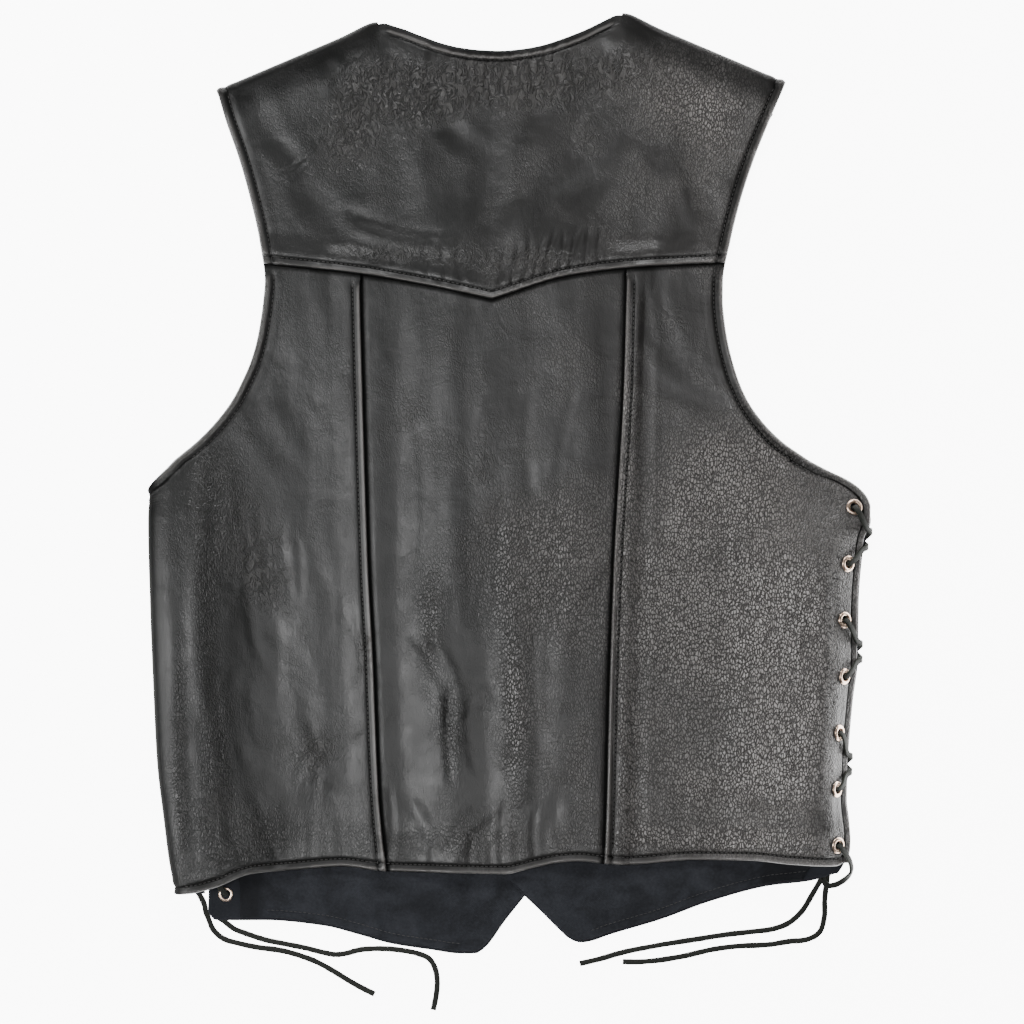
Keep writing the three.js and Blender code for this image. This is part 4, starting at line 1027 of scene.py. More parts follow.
def lace_finish():
    """Matt black thong leather with rough cut edges."""
    s = Shader("thong_leather")
    where = s.place()
    fibre = s.noise(where, 1100.0, 4.0, 0.5)
    cloud = s.noise(where, 140.0, 3.0)
    cut = s.value("cut")
    colour = colour_of("lace")
    tone = (fibre * 0.5 + cloud * 0.5 + cut * 0.35 - 0.3).clamped()
    base = s.blend(tone, shade(colour, 0.6), shade(colour, 2.4))
    normal = s.bump(fibre * (0.5 + cut * 0.8) + cloud * 0.5, 0.6, 0.0004)
    return s.surface(base_color=base, roughness=0.7 + cut * 0.2, normal=normal, specular_ior_level=0.35)


def thread_finish():
    """Bonded black sewing thread."""
    s = Shader("sewing_thread")
    twist = s.noise(s.place(), 1400.0, 2.0)
    colour = colour_of("thread")
    base = s.blend(twist, shade(colour, 0.6), shade(colour, 1.6))
    return s.surface(base_color=base, roughness=0.6, normal=s.bump(twist, 0.4, 0.0002))


FINISHES = {
    "leather": leather_finish, "flesh": flesh_finish, "lining": lining_finish, "metal": metal_finish,
    "lace": lace_finish, "thread": thread_finish,
}
made_finishes = {}


def finish_of(name):
    if name not in made_finishes:
        made_finishes[name] = FINISHES[name]()
    return made_finishes[name]


# Laces
def catmull(points, steps):
    """A centripetal curve through points, stepped evenly in each span."""
    points = np.array(points, float)
    padded = np.vstack([2 * points[0] - points[1], points, 2 * points[-1] - points[-2]])
    out = []
    for k in range(1, len(padded) - 2):
        p0, p1, p2, p3 = padded[k - 1:k + 3]
        d0, d1, d2 = (max(np.linalg.norm(b - a) ** 0.5, 1e-4) for a, b in ((p0, p1), (p1, p2), (p2, p3)))
        m1 = ((p1 - p0) / d0 - (p2 - p0) / (d0 + d1) + (p2 - p1) / d1) * d1
        m2 = ((p2 - p1) / d1 - (p3 - p1) / (d1 + d2) + (p3 - p2) / d2) * d1
        for i in range(steps + (k == len(padded) - 3)):
            t = i / steps
            out.append((2 * t**3 - 3 * t**2 + 1) * p1 + (t**3 - 2 * t**2 + t) * m1
                       + (3 * t**2 - 2 * t**3) * p2 + (t**3 - t**2) * m2)
    return np.array(out)


# Half of a lace's section, in shares of its width and thickness
THONG_CORNER = (
    (0.36, -0.5), (0.46, -0.42), (0.5, -0.22), (0.5, 0.22), (0.46, 0.42), (0.36, 0.5), (0.12, 0.48),
)
THONG_SECTION = THONG_CORNER + tuple((-a, -b) for a, b in THONG_CORNER)


def unturned(thins, tangents):
    """Thin sides' directions that never turn over from place to place, as the section has two like sides."""
    kept = []
    for thin, tangent in zip(thins, tangents):
        thin, tangent = Vector(thin), Vector(tangent)
        thin = (thin - tangent * thin.dot(tangent)).normalized()
        if kept:
            carried = kept[-1][1].rotation_difference(tangent) @ kept[-1][0]
            if thin.dot(carried) < 0:
                thin = -thin
        kept.append((thin, tangent))
    return np.array([thin for thin, _ in kept])


def thong(name, places, steps, seed, nodes, overhang=0.0):
    """A flat lace through places, each with the direction that its thin side faces, in millimetres."""
    centre = catmull([at for at, _ in places], steps)
    count = len(centre)
    key = np.arange(count) / steps
    first = np.minimum(key.astype(int), len(places) - 2)
    share = (key - first)[:, None]
    tangent = np.gradient(centre, axis=0)
    tangent /= np.linalg.norm(tangent, axis=1, keepdims=True)
    thin_at = unturned([thin for _, thin in places], tangent[::steps])
    thin = thin_at[first] * (1 - share) + thin_at[first + 1] * share
    thin -= tangent * np.einsum("ij,ij->i", thin, tangent)[:, None]
    thin /= np.linalg.norm(thin, axis=1, keepdims=True)
    side = np.cross(tangent, thin)
    if overhang:
        centre[0] -= tangent[0] * overhang
    rough = np.array([noise.noise((k * 0.31, seed, 0.5)) for k in range(count)])
    section = np.array(THONG_SECTION + THONG_SECTION[:1])
    ragged = np.array([[noise.noise((k * 0.7, j * 3.1 + seed, 2.5)) for j in range(len(section) - 1)]
                       for k in range(count)])
    ragged = np.hstack([ragged, ragged[:, :1]])
    across = section[:, 0] * (lace_width * (1 + 0.07 * rough[:, None]) + 0.32 * ragged)
    through = section[:, 1] * (lace_thick * 0.96 + 0.16 * ragged)
    points = centre[:, None] + side[:, None] * across[..., None] + thin[:, None] * through[..., None]
    bm = bmesh.new()
    cols = len(section)
    bmesh.ops.create_grid(bm, x_segments=cols - 1, y_segments=count - 1, size=1.0)
    cut = bm.verts.layers.float.new("cut")
    for vertex in bm.verts:
        i, j = station(vertex.co.x, cols), station(vertex.co.y, count)
        vertex.co = points[j, i] * MM
        vertex[cut] = float(abs(section[i, 0]) > 0.44 or j in (0, count - 1))
    bmesh.ops.remove_doubles(bm, verts=bm.verts[:], dist=1e-7)
    bmesh.ops.holes_fill(bm, edges=[edge for edge in bm.edges if edge.is_boundary], sides=0)
    bmesh.ops.triangulate(bm, faces=[face for face in bm.faces if len(face.verts) > 4])
    bmesh.ops.recalc_face_normals(bm, faces=bm.faces[:])
    mesh = mesh_of(name, bm)
    mesh.shade_smooth()
    mesh.set_sharp_from_angle(angle=math.radians(55))
    piece = finish_object(name, mesh, [finish_of("lace")])
    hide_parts(*nodes)
    return piece, centre * MM


def strand(first, second, bar, bar_thin, inside, crossing, end):
    """Places of one criss-cross strand, from the middle of its top bar to where its free tail starts."""
    over_flange = 3.6
    eyelets = [first[i] if i % 2 == 0 else second[i] for i in range(eyelet_count)]
    ends = unit(first[0][1] - second[0][1])
    places = [((first[0][1] + second[0][1]) / 2 + bar + 0.25 * ends, bar_thin)]
    for i, (axes, centre) in enumerate(eyelets):
        normal = axes[:, 2]

        def towards(goal):
            way = goal - centre
            return unit(way - normal * way.dot(normal))

        if i % 2 == 0:
            back = towards(eyelets[i - 1][1] if i else second[0][1])
            over = crossing(i) if i + 1 < eyelet_count else end
            ahead = towards(over[0][0])
            places.append((centre - 2.4 * normal, back))
            places.append((centre + 2.1 * normal, -ahead))
            places.append((centre + 4.8 * ahead + over_flange * normal, normal))
            places.extend(over)
        else:
            back = towards(places[-1][0])
            following = eyelets[i + 1][1]
            places.append((centre + 4.8 * back + over_flange * normal, normal))
            places.append((centre + 2.1 * normal, -back))
            places.append((centre - 2.4 * normal, towards(following)))
            places.append(((centre + following) / 2 + inside, bar_thin))
    return places


UP = vec(0, 0, 1)


def in_millimetres(*rows, level=0.0011):
    return [(vec(row[0], row[1], row[2] if len(row) > 2 else level) / MM, UP) for row in rows]


# Routes of the free tails, in metres, from under the fronts' hems to their cut ends
TAILS = {
    "left_a": in_millimetres(
        (-0.228, -0.3255), (-0.224, -0.335), (-0.216, -0.342), (-0.204, -0.3456), (-0.192, -0.3482),
        (-0.173, -0.3508), (-0.161, -0.3539), (-0.146, -0.3595), (-0.133, -0.3666), (-0.121, -0.374),
        (-0.11, -0.38), (-0.1027, -0.3836),
    ),
    "left_b": in_millimetres(
        (-0.216, -0.3285), (-0.208, -0.3346), (-0.197, -0.3388), (-0.184, -0.343), (-0.168, -0.3462),
        (-0.1545, -0.3489), (-0.141, -0.3523), (-0.1327, -0.3538), (-0.125, -0.3532), (-0.113, -0.3502),
        (-0.098, -0.3494), (-0.085, -0.3503), (-0.0705, -0.353), (-0.0615, -0.357), (-0.057, -0.3645),
        (-0.0555, -0.3735), (-0.0562, -0.384), (-0.0585, -0.3955),
    ),
    "right_a": in_millimetres(
        (0.2317, -0.2995, 0.0034), (0.226, -0.3095, 0.0017), (0.219, -0.321), (0.209, -0.33),
        (0.197, -0.3346), (0.18, -0.3368), (0.161, -0.339), (0.137, -0.3427), (0.109, -0.3472),
        (0.084, -0.3522), (0.065, -0.3576), (0.0517, -0.3607),
    ),
    "right_b": in_millimetres(
        (0.2376, -0.2977), (0.236, -0.312), (0.2356, -0.326), (0.232, -0.337), (0.223, -0.3424),
        (0.209, -0.344), (0.194, -0.3464), (0.17, -0.3476), (0.1515, -0.35), (0.13, -0.355),
        (0.109, -0.3584), (0.094, -0.3594), (0.084, -0.3592),
    ),
}
ENDS = {
    "left_a": in_millimetres((-0.24, -0.3015, 0.0032), (-0.234, -0.309, 0.0022), (-0.2304, -0.317, 0.0013)),
    "left_b": in_millimetres((-0.2146, -0.317, 0.0019)),
    "right_a": [
        (vec(254.6, -284, 12), unit(vec(1, -0.3, 0.6))), (vec(255.4, -291, 8), unit(vec(1, -1, 0.2))),
        (vec(250.5, -297.4, 4.8), unit(vec(0.3, -0.4, 1))),
        *in_millimetres((0.243, -0.3014, 0.0036), (0.237, -0.3014, 0.0035)),
    ],
    "right_b": in_millimetres((0.2396, -0.2835, 0.0016), (0.2386, -0.291, 0.0012)),
}


def end_route(key):
    start, onward = TAILS[key][0][0], TAILS[key][1][0]
    way = unit(onward - start)
    return [*ENDS[key], (start - 4.5 * way, UP), (start - 0.3 * way, UP)]


def round_the_edge(from_back):
    """Over the two edges of the right side and up under the front's."""
    def crossing(i):
        y = (ROWS["back_right"][i] + ROWS["front_right"][i + 1]) / 2 + (5.4 if from_back else -5.4)
        edge = on_back(np.array(right_crest(y) + bend_arc + strip_arc), np.array(y))
        x = max(edge[0], float(inner_front_side(y)))
        under = 4.3 if from_back else 1.3
        turn = -1 if from_back else 1
        places = [
            (vec(edge[0] + 0.4, y - 2.4 * turn, edge[2] + 2.9), unit(vec(0.6, 0, 0.8))),
            (vec(x + 2.5, y - 0.4 * turn, 7.4), vec(1, 0, 0)),
            (vec(x + 0.4, y + 2 * turn, under), unit(vec(0.4, 0, -1))),
            (vec(x - 5.5, y + 8 * turn, under - (0.7 if from_back else 0)), vec(0, 0, -1)),
        ]
        return places if from_back else places[::-1]
    return crossing


def under_the_edges(from_back):
    """Under the two edges of the left side, one strand over the other."""
    def crossing(i):
        near, far = ("back_left", "front_left") if from_back else ("front_left", "back_left")
        y = (ROWS[near][i] + ROWS[far][i + 1]) / 2
        x, height = float(outer_front_side(y)) - lace_split / 2, 3.75 if from_back else 1.3
        return [(vec(x, y, height), vec(0, 0, -1))]
    return crossing


def strand_places(key):
    from_back = key.endswith("_a")
    side = key[:-2]
    first, second = LACED["back_" + side], LACED["front_" + side]
    if not from_back:
        first, second = second, first
    inside = {
        "left_a": vec(0, 0, 4.4), "left_b": vec(0, 0, 7.4),
        "right_a": vec(-1, 0, 4), "right_b": vec(-9.5, 0, -3.4),
    }[key]
    if side == "left":
        bar, bar_thin, crossing = vec(0, 0, 4.5), UP, under_the_edges(from_back)
    else:
        bar, bar_thin, crossing = vec(0, 0, 0), vec(1, 0, 0), round_the_edge(from_back)
    return strand(first, second, bar, bar_thin, inside, crossing, end_route(key))


# Stitching
def run_of(skin, u_of, low, high, pitch, along="y"):
    """Even stitch places along a line of the pattern."""
    steps = np.linspace(low, high, 600)
    u, y = (u_of(steps), steps) if along == "y" else (steps, u_of(steps))
    track, _ = skin.top(u, y)
    length = np.concatenate([[0], np.cumsum(np.linalg.norm(np.diff(track, axis=0), axis=1))])
    count = max(2, int(length[-1] / pitch))
    marks = np.interp((np.arange(count) + 0.5) / count * length[-1], length, steps)
    ends = [np.interp((np.arange(count) + t) / count * length[-1], length, steps) for t in (0.1, 0.9)]
    places = []
    for values in (marks, *ends):
        u, y = (u_of(values), values) if along == "y" else (values, u_of(values))
        places.append(skin.top(u, y, 0.2))
    (middle, normal), (start, _), (stop, _) = places
    return middle, stop - start, normal


def sew(name, runs, radius=0.34):
    """Stitches as small plump spindles, lying in their grooves."""
    one = bmesh.new()
    bmesh.ops.create_uvsphere(one, u_segments=6, v_segments=4, radius=1.0)
    spindle = bpy.data.meshes.new("spindle")
    one.to_mesh(spindle)
    bm = bmesh.new()
    start = 0
    for middle, way, normal in runs:
        for m, w, n in zip(middle, way, normal):
            long = np.linalg.norm(w)
            along = w / long
            side = unit(np.cross(n, along))
            out = np.cross(along, side)
            axes = np.column_stack([side * radius, out * radius * 0.8, along * long / 2])
            bm.from_mesh(spindle)
            bm.verts.ensure_lookup_table()
            for k, vertex in enumerate(one.verts):
                bm.verts[start + k].co = (m + axes @ np.array(vertex.co)) * MM
            start += len(one.verts)
    one.free()
    bpy.data.meshes.remove(spindle)
    mesh = mesh_of(name, bm)
    mesh.shade_smooth()
    return finish_object(name, mesh, [finish_of("thread")])


# The pieces' skins
def under_yoke(x, y):
    return ease((yoke_low(x) - y - 3) / 10)


def side_over(seam, outer, roll, centres):
    def over(x, y):
        edges = folded_edge(from_level(back_hem, x, y)) + seam_edge(from_line(seam, y, x)) - 2 * half
        arm = ease((y - 2) / 14)
        distance = from_line(outer, y, x)
        edges = edges + (roll(distance) * arm + folded_edge(distance) * (1 - arm) - half)
        return np.clip(half + edges * under_yoke(x, y), 0.12, 2.15) + pressed(x, y, centres)
    return over


def centre_over(x, y):
    past_seam = np.minimum(x - seam_left(y), seam_right(y) - x)
    hem = half + (folded_edge(from_level(back_hem, x, y)) - half) * ease((past_seam + 2) / 6)
    return np.maximum(0.05, hem - 0.65 * fade((np.abs(past_seam - 0.8) - 1.2) / 2.2))


def by_neck_edge(x):
    return ease(np.minimum(x - neck_left, neck_right - x) / 12)


def beside_neck(x):
    """How far out from the neck's nearer corner a place is."""
    return np.where(x < 0, neck_left - x, x - neck_right)


def from_neck(x, y):
    in_neck = (x > neck_left - 0.01) & (x < neck_right + 0.01)
    past_corner = np.hypot(np.maximum(0, crest_line(x) - y), beside_neck(x))
    return np.where(in_neck, from_level(crest_line, x, y), past_corner)


def yoke_over(x, y):
    edges = folded_edge(from_level(yoke_low, x, y)) + rolled_edge(from_line(armhole_left, y, x))
    edges = edges + right_arm_roll(from_line(armhole_right, y, x)) - 3 * half
    edges = edges + (neck_roll(from_neck(x, y)) - half) * by_neck_edge(x)
    return np.clip(half + edges, 0.12, 2.0)


def skins():
    left = side_over(seam_left, side_left, rolled_edge, CENTRES["back_left"])
    right = side_over(seam_right, side_right, right_arm_roll, CENTRES["back_right"])
    return {
        "yoke": Skin(on_yoke, yoke_over, back_relief),
        "centre": Skin(on_back, centre_over, back_relief),
        "left": Skin(on_side_left, left, back_relief),
        "right": Skin(on_side_right, right, back_relief),
    }


eyelet_hole = 4.7


def cells_kept(inside):
    return ~(inside[:-1, :-1] & inside[1:, :-1] & inside[:-1, 1:] & inside[1:, 1:])


def steps_for(length, reserved):
    settings = bpy.context.scene.vest_sizes
    return max(8, int((length - reserved) / (settings.grid_step / MM)))


def leather_sheet(node, flat, area):
    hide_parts(node)


class VestSizes(bpy.types.PropertyGroup):
    """Sizes that a user would change."""

    grid_step: FloatProperty(
        name="Panel step", description="Distance between a panel's points", default=0.0018, min=0.001,
        unit="LENGTH", precision=4)
    crease_depth: FloatProperty(
        name="Creases", description="How deep the leather's creases are, as a share of the real ones",
        default=0.85, min=0.0, max=2.0)
    stitch_pitch: FloatProperty(
        name="Stitch pitch", description="Distance from stitch to stitch", default=0.0034, unit="LENGTH",
        precision=4)
    eyelet_segments: IntProperty(
        name="Eyelet segments", description="Faces round an eyelet", default=32, min=12)
    camera_height: FloatProperty(
        name="Camera height", description="Height of the camera over the floor",
        default=cad_box[1][2] + 3.823, unit="LENGTH")


class VestColours(bpy.types.PropertyGroup):
    """Colours that a user would change."""

    leather: FloatVectorProperty(
        name="Leather", description="The leather where it is darkest", subtype="COLOR",
        default=(0.0088, 0.009, 0.0087), min=0, max=1)
    # Painted light: the lighter leather towards the lit right side, partly greyer wear.
    leather_warm: FloatVectorProperty(
        name="Warm leather", description="The leather towards the right side", subtype="COLOR",
        default=(0.020, 0.0186, 0.0179), min=0, max=1)
    # Crest colour, partly wear and partly painted highlight on pebble and crinkle tops.
    leather_worn: FloatVectorProperty(
        name="Worn crests", description="Rubbed crests and edges", subtype="COLOR",
        default=(0.230, 0.217, 0.208), min=0, max=1)
    lining: FloatVectorProperty(
        name="Lining", description="Navy-charcoal cloth", subtype="COLOR", default=(0.0215, 0.0232, 0.028),
        min=0, max=1)
    metal: FloatVectorProperty(
        name="Metal", description="Eyelets and snap fasteners", subtype="COLOR", default=(0.86, 0.64, 0.50),
        min=0, max=1)
    lace: FloatVectorProperty(
        name="Lace", description="Thong leather", subtype="COLOR", default=(0.009, 0.0105, 0.0075),
        min=0, max=1)
    thread: FloatVectorProperty(
        name="Thread", description="Sewing thread", subtype="COLOR", default=(0.034, 0.033, 0.032),
        min=0, max=1)


class VEST_OT_stage(bpy.types.Operator):
    """Camera straight above, pale floor and soft studio light"""

    bl_idname = "vest.stage"
    bl_label = "Stage"

    def execute(self, context):
        camera_data = bpy.data.cameras.new("camera")
        camera_data.lens, camera_data.sensor_width = 180, 36
        camera = bpy.data.objects.new("camera", camera_data)
        over_vest = (0.00075, -0.021)  # the photograph's middle, on the vest
        camera.location = (*over_vest, context.scene.vest_sizes.camera_height)
        context.scene.collection.objects.link(camera)
        context.scene.camera = camera

        bm = bmesh.new()
        bmesh.ops.create_grid(bm, x_segments=1, y_segments=1, size=6.0)
        bmesh.ops.translate(bm, verts=bm.verts[:], vec=(0, 0, -0.0002))
        mesh = mesh_of("floor", bm)
        floor = bpy.data.objects.new("floor", mesh)
        context.scene.collection.objects.link(floor)
        s = Shader("pale_floor")
        mesh.materials.append(s.surface(
            base_color=(0.94, 0.94, 0.94, 1), roughness=0.9, specular_ior_level=0.1,
            emission_color=(1, 1, 1, 1), emission_strength=9.0))

        def softbox(name, place, size, power):
            light = bpy.data.lights.new(name, "AREA")
            light.shape = "RECTANGLE"
            light.size, light.size_y = size
            light.energy = power
            lamp = bpy.data.objects.new(name, light)
            lamp.location = place
            lamp.rotation_euler = (Vector((0, 0, 0)) - Vector(place)).to_track_quat("-Z", "Y").to_euler()
            context.scene.collection.objects.link(lamp)

        softbox("key_light", (0.62, -0.3, 1.9), (0.4, 0.8), 8)
        softbox("fill_light", (-0.75, -0.3, 1.9), (0.4, 0.8), 22)
        softbox("side_light", (-1.7, -0.2, 0.9), (0.5, 1.4), 18)
        softbox("top_light", (0.1, 1.9, 1.1), (1.6, 0.4), 40)
        world = bpy.data.worlds.new("studio")
        context.scene.world = world
        world.use_nodes = True
        background = world.node_tree.nodes["Background"]
        background.inputs["Color"].default_value = (0.98, 0.99, 1.0, 1)
        background.inputs["Strength"].default_value = 0.03
        return {"FINISHED"}


class VEST_OT_laces(bpy.types.Operator):
    """Four flat laces: the strands through the eyelets and their free tails"""

    bl_idname = "vest.laces"
    bl_label = "Laces"

    def execute(self, context):
        lengths = {"left_a": 0.149, "left_b": 0.202, "right_a": 0.204, "right_b": 0.182}
        for seed, key in enumerate(TAILS):
            node = "lace_tail_" + key
            tail, centre = thong("tail_" + key, TAILS[key], 8, seed * 4.7, [node], overhang=0.45)
            measured = float(np.linalg.norm(np.diff(centre, axis=0), axis=1).sum())
            if abs(measured - lengths[key]) > 0.1 * lengths[key]:
                raise RuntimeError(f"{tail.name} is {measured:.4f} m long, not {lengths[key]}")
            tuple(centre[0])
            thong("strand_" + key, strand_places(key), 6, 20 + seed * 4.7, ["lace_" + key])
        return {"FINISHED"}


class VEST_OT_back_centre(bpy.types.Operator):
    """The back's centre panel, under the yoke and the side panels"""

    bl_idname = "vest.back_centre"
    bl_label = "Back centre"

    def execute(self, context):
        x, y = patch(
            lambda y: seam_left(y) - lap, lambda y: seam_right(y) + lap,
            back_hem, lambda x: yoke_low(x) + lap,
            banded(steps_for(180, 0), SEAM_STEPS, SEAM_STEPS), banded(steps_for(455, 14), EDGE_STEPS, (0, 5)),
        )
        materials = [finish_of("leather"), finish_of("flesh")]
        piece = panel("panel_back_centre", skins()["centre"], x, y, materials)
        leather_sheet("back_centre", (0.218, 0.462), 0.092)
        return {"FINISHED"}


class VEST_OT_back_sides(bpy.types.Operator):
    """The back's two side panels: the soft roll on the left and the bent laced strip on the right"""

    bl_idname = "vest.back_sides"
    bl_label = "Back sides"

    def execute(self, context):
        rows = banded(steps_for(455, 14), EDGE_STEPS, (0, 5))
        for key, left, right, size, area in (
            ("left", side_left, seam_left, (0.197, 0.480), 0.0745),
            ("right", seam_right, side_right, (0.197, 0.465), 0.072),
        ):
            x, y = patch(left, right, back_hem, lambda x: yoke_low(x) + lap, banded(steps_for(170, 18)), rows)
            x, y, inside = punched(x, y, CENTRES["back_" + key], eyelet_hole)
            piece = panel("panel_side_" + key, skins()[key], x, y, [finish_of("leather"), finish_of("flesh")],
                          cells_kept(inside))
            leather_sheet("back_side_" + key, size, area)
        return {"FINISHED"}


class VEST_OT_back_yoke(bpy.types.Operator):
    """The pointed yoke, folded over both shoulders"""

    bl_idname = "vest.back_yoke"
    bl_label = "Yoke"

    def execute(self, context):
        top = 345.0
        wide = float(armhole_right(top) - armhole_left(top))
        share_left = float(neck_left - armhole_left(top)) / wide
        share_right = float(neck_right - armhole_left(top)) / wide
        reach = EDGE_STEPS[-1]
        columns = [
            *low_edge(), *between((0, reach), (share_left, -reach), steps_for(105, 18)),
            *[(share_left, -d) for d in reversed(EDGE_STEPS)],
            *between((share_left, 0), (share_right, 0), steps_for(183, 0)),
            *[(share_right, d) for d in EDGE_STEPS],
            *between((share_right, reach), (1, -reach), steps_for(120, 18)), *high_edge(),
        ]
        rows = banded(steps_for(165, 18))
        x, y = patch(armhole_left, armhole_right, yoke_low, crest_line, columns, rows)
        skin = skins()["yoke"]
        main = skin.middle(x, y)
        over = skin.over(x, y)
        crest_x = x[-1]
        round_fold, down_flap = np.linspace(0, fold_arc, 15), np.linspace(fold_arc, fold_arc + flap, 10)
        lengths = np.concatenate([round_fold[1:], down_flap[1:]])
        turned_over = on_flap(crest_x[None, :], lengths[:, None])
        points = np.concatenate([main, turned_over])
        arm = np.minimum(np.abs(crest_x - crest_x[0]), np.abs(crest_x - crest_x[-1]))
        flap_over = half + (rolled_edge(arm) - half)[None, :] * fade((lengths[:, None] - 4) / 6)
        thick = np.concatenate([over, flap_over])
        normals = grid_normals(points)
        in_neck = (crest_x > neck_left + 0.01) & (crest_x < neck_right - 0.01)
        normals[: len(main), in_neck] = grid_normals(main)[:, in_neck]
        upper, lower = leather_wall(points, normals, thick)
        upper[..., 2] = np.maximum(upper[..., 2], 0.0)
        keep = np.ones((len(points) - 1, len(crest_x) - 1), bool)
        keep[len(main) - 1:] = ~(in_neck[:-1] | in_neck[1:])[None, :]
        flap_x = np.broadcast_to(crest_x, turned_over.shape[:2])
        all_x, all_y = np.concatenate([x, flap_x]), np.concatenate([y, crest_line(flap_x)])
        beside = np.broadcast_to(beside_neck(crest_x), all_x.shape)
        # Painted shade along the shoulders, where they slope away from the light, on the outer slope of the
        # neck's roll and inboard of the right armhole's roll.
        to_fold = crest_line(all_x) - all_y + 60 * ease((6 - beside) / 24)
        shade_at_neck = 0.8 * fade((from_neck(all_x, all_y) - 3.4) / 1.4) * by_neck_edge(all_x)
        shade_to_paint = np.maximum(0.6 * fade((to_fold - 7) / 20), shade_at_neck)
        shade_to_paint = np.maximum(shade_to_paint, right_arm_shade(all_x, all_y))
        values = leather_values(all_x, all_y, thick, shade_to_paint)
        piece = shell("panel_yoke", upper, lower, [finish_of("leather"), finish_of("flesh")], keep, values)
        leather_sheet("back_yoke", (0.425, 0.245), 0.075)
        return {"FINISHED"}


def front_panel(name, outer, above, inset, over, under, materials, centres=()):
    """One front or its lining, from its own outline drawn in by the inset."""
    side, centre = (outer_front_side, outer_neckline) if outer else (inner_front_side, inner_neckline)
    hem = outer_hem if outer else inner_hem
    shoulder = shoulder_left if outer else shoulder_right
    place = on_outer_front if outer else on_inner_front
    sign = 1 if outer else -1
    side_in = lambda y: side(y) + sign * inset["side"]
    centre_in = lambda y: centre(y) - sign * inset["edge"]
    left, right = (side_in, centre_in) if outer else (centre_in, side_in)
    low = lambda x: hem(x) + inset["edge"]
    high = lambda x: shoulder(x) - seam_drop - inset["top"]
    fine = (0, 0.4, 1, 2, 3.6, 5.4, 7, 9)
    columns, rows = (banded(steps_for(length, 18), fine, fine) for length in (115, 330))
    x, y = patch(left, right, low, high, columns, rows)
    x, y, inside = punched(x, y, centres, eyelet_hole)
    snap_radius = {"front_left": 7.0, "front_right": 3.2, "lining_left": 3.2, "lining_right": 5.4}[name]
    x, y, more = punched(x, y, [(snap_x, sy) for sy in SNAPS], snap_radius)
    edge = np.minimum(np.minimum(from_line(left, y, x), from_line(right, y, x)),
                      np.minimum(from_level(low, x, y), from_level(high, x, y)))
    rise = front_relief(x, y, name)
    points = place(x, y, above) + stack(0 * x, 0 * x, rise)
    normals = grid_normals(points)
    upper = points + normals * over(edge)[..., None]
    lower = points - normals * under(edge)[..., None]
    lower[..., 2] = np.maximum(lower[..., 2], 0.0)
    grain = np.clip(0.35 + 0.5 * soft_noise(x, y, 80, 60, 5.0, 1), 0, 1)
    facing_from, facing_top = 186, -297 if outer else -279
    corner = ease((np.abs(x - snap_x) - facing_from) / 3) * fade((y - facing_top) / 14)
    values = {"grain": grain, "worn": ease((3 - edge) / 3) * 0.5, "faced": corner * name.startswith("lining")}
    return shell("panel_" + name, upper, lower, materials, cells_kept(inside) & cells_kept(more), values)


SNAPS = (60, -40, -140, -240)
snap_x = 0.5


def front_relief(x, y, name):
    """Soft upward unevenness of a front or its lining. It grows where nothing lies over it."""
    creases = creased(x, y, [(*row[:5], -row[5], row[6]) for row in FRONT_CREASES])
    near_snaps = 1 - sum(bell(np.hypot(x - snap_x, y - sy) / 14) for sy in SNAPS)
    if name.startswith("front"):
        return 0.25 * np.clip(creases + 0.3, 0, 0.8) * np.clip(near_snaps, 0, 1)
    free = fade((y + 283) / 14)
    small = 0.12 * np.clip(soft_noise(x, y, 40, 30, 4.2), -1, 1) * np.clip(near_snaps, 0, 1)
    hem = outer_hem if name.endswith("left") else inner_hem
    away = ease((y - hem(x) - 3) / 8)
    waves = 0.9 * np.clip(soft_noise(x, y, 16, 55, 9.4) + 0.35, 0, 1) + creased(x, y, LINING_CREASES) * 0.8
    return small + free * away * np.clip(waves, -0.25, 1.8)


LINING_CREASES = (
    (-170, -318, -60, -342, 3.5, -0.9, 3), (-200, -306, -120, -312, 5, -0.7, 4),
    (-110, -300, -40, -306, 5, -0.7, -3), (-60, -330, -30, -336, 3, -0.6, 2),
    (-90, -316, -20, -322, 4, 0.3, 2), (40, -300, 110, -300, 4, -0.7, 3),
    (60, -322, 130, -306, 3.5, -0.8, -2), (150, -296, 210, -290, 3.5, -0.7, 3),
    (30, -318, 46, -334, 3, -0.5, 1),
)


class VEST_OT_fronts(bpy.types.Operator):
    """The two fronts, laid under the back, with snap fasteners down their overlapping edges"""

    bl_idname = "vest.fronts"
    bl_label = "Fronts"

    def execute(self, context):
        over = Curve((0, 0.3), (0.5, 0.62), (1.2, 0.72), (4, half), (6, 0.55), (8, half))
        under = Curve((0, 0.2), (0.5, 0.55), (1.2, 0.68), (4, half), (5.4, 0.42), (7, half))
        for name, outer, area in (("front_left", True, 0.142), ("front_right", False, 0.137)):
            piece = front_panel(name, outer, 0, {"side": 0, "edge": 0, "top": 0}, over, under,
                                [finish_of("flesh"), finish_of("leather")], CENTRES[name])
            leather_sheet(name, (0.268, 0.668), area)
        return {"FINISHED"}


class VEST_OT_linings(bpy.types.Operator):
    """Navy twill linings of the two fronts, and the facing patches at their side corners"""

    bl_idname = "vest.linings"
    bl_label = "Linings"

    def execute(self, context):
        edge = Curve((0, 0.15), (0.4, 0.34), (1, 0.45), (3, 0.4), (5.6, 0.2), (7, 0.4), (9, 0.42))
        plain = Curve((0, 0.2), (1, 0.38), (3, 0.4))
        for name, outer, area in (("lining_left", True, 0.126), ("lining_right", False, 0.121)):
            piece = front_panel(name, outer, lining_height, {"side": 24, "edge": 2, "top": 9}, edge, plain,
                                [finish_of("lining")])
            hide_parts(name)
        return {"FINISHED"}


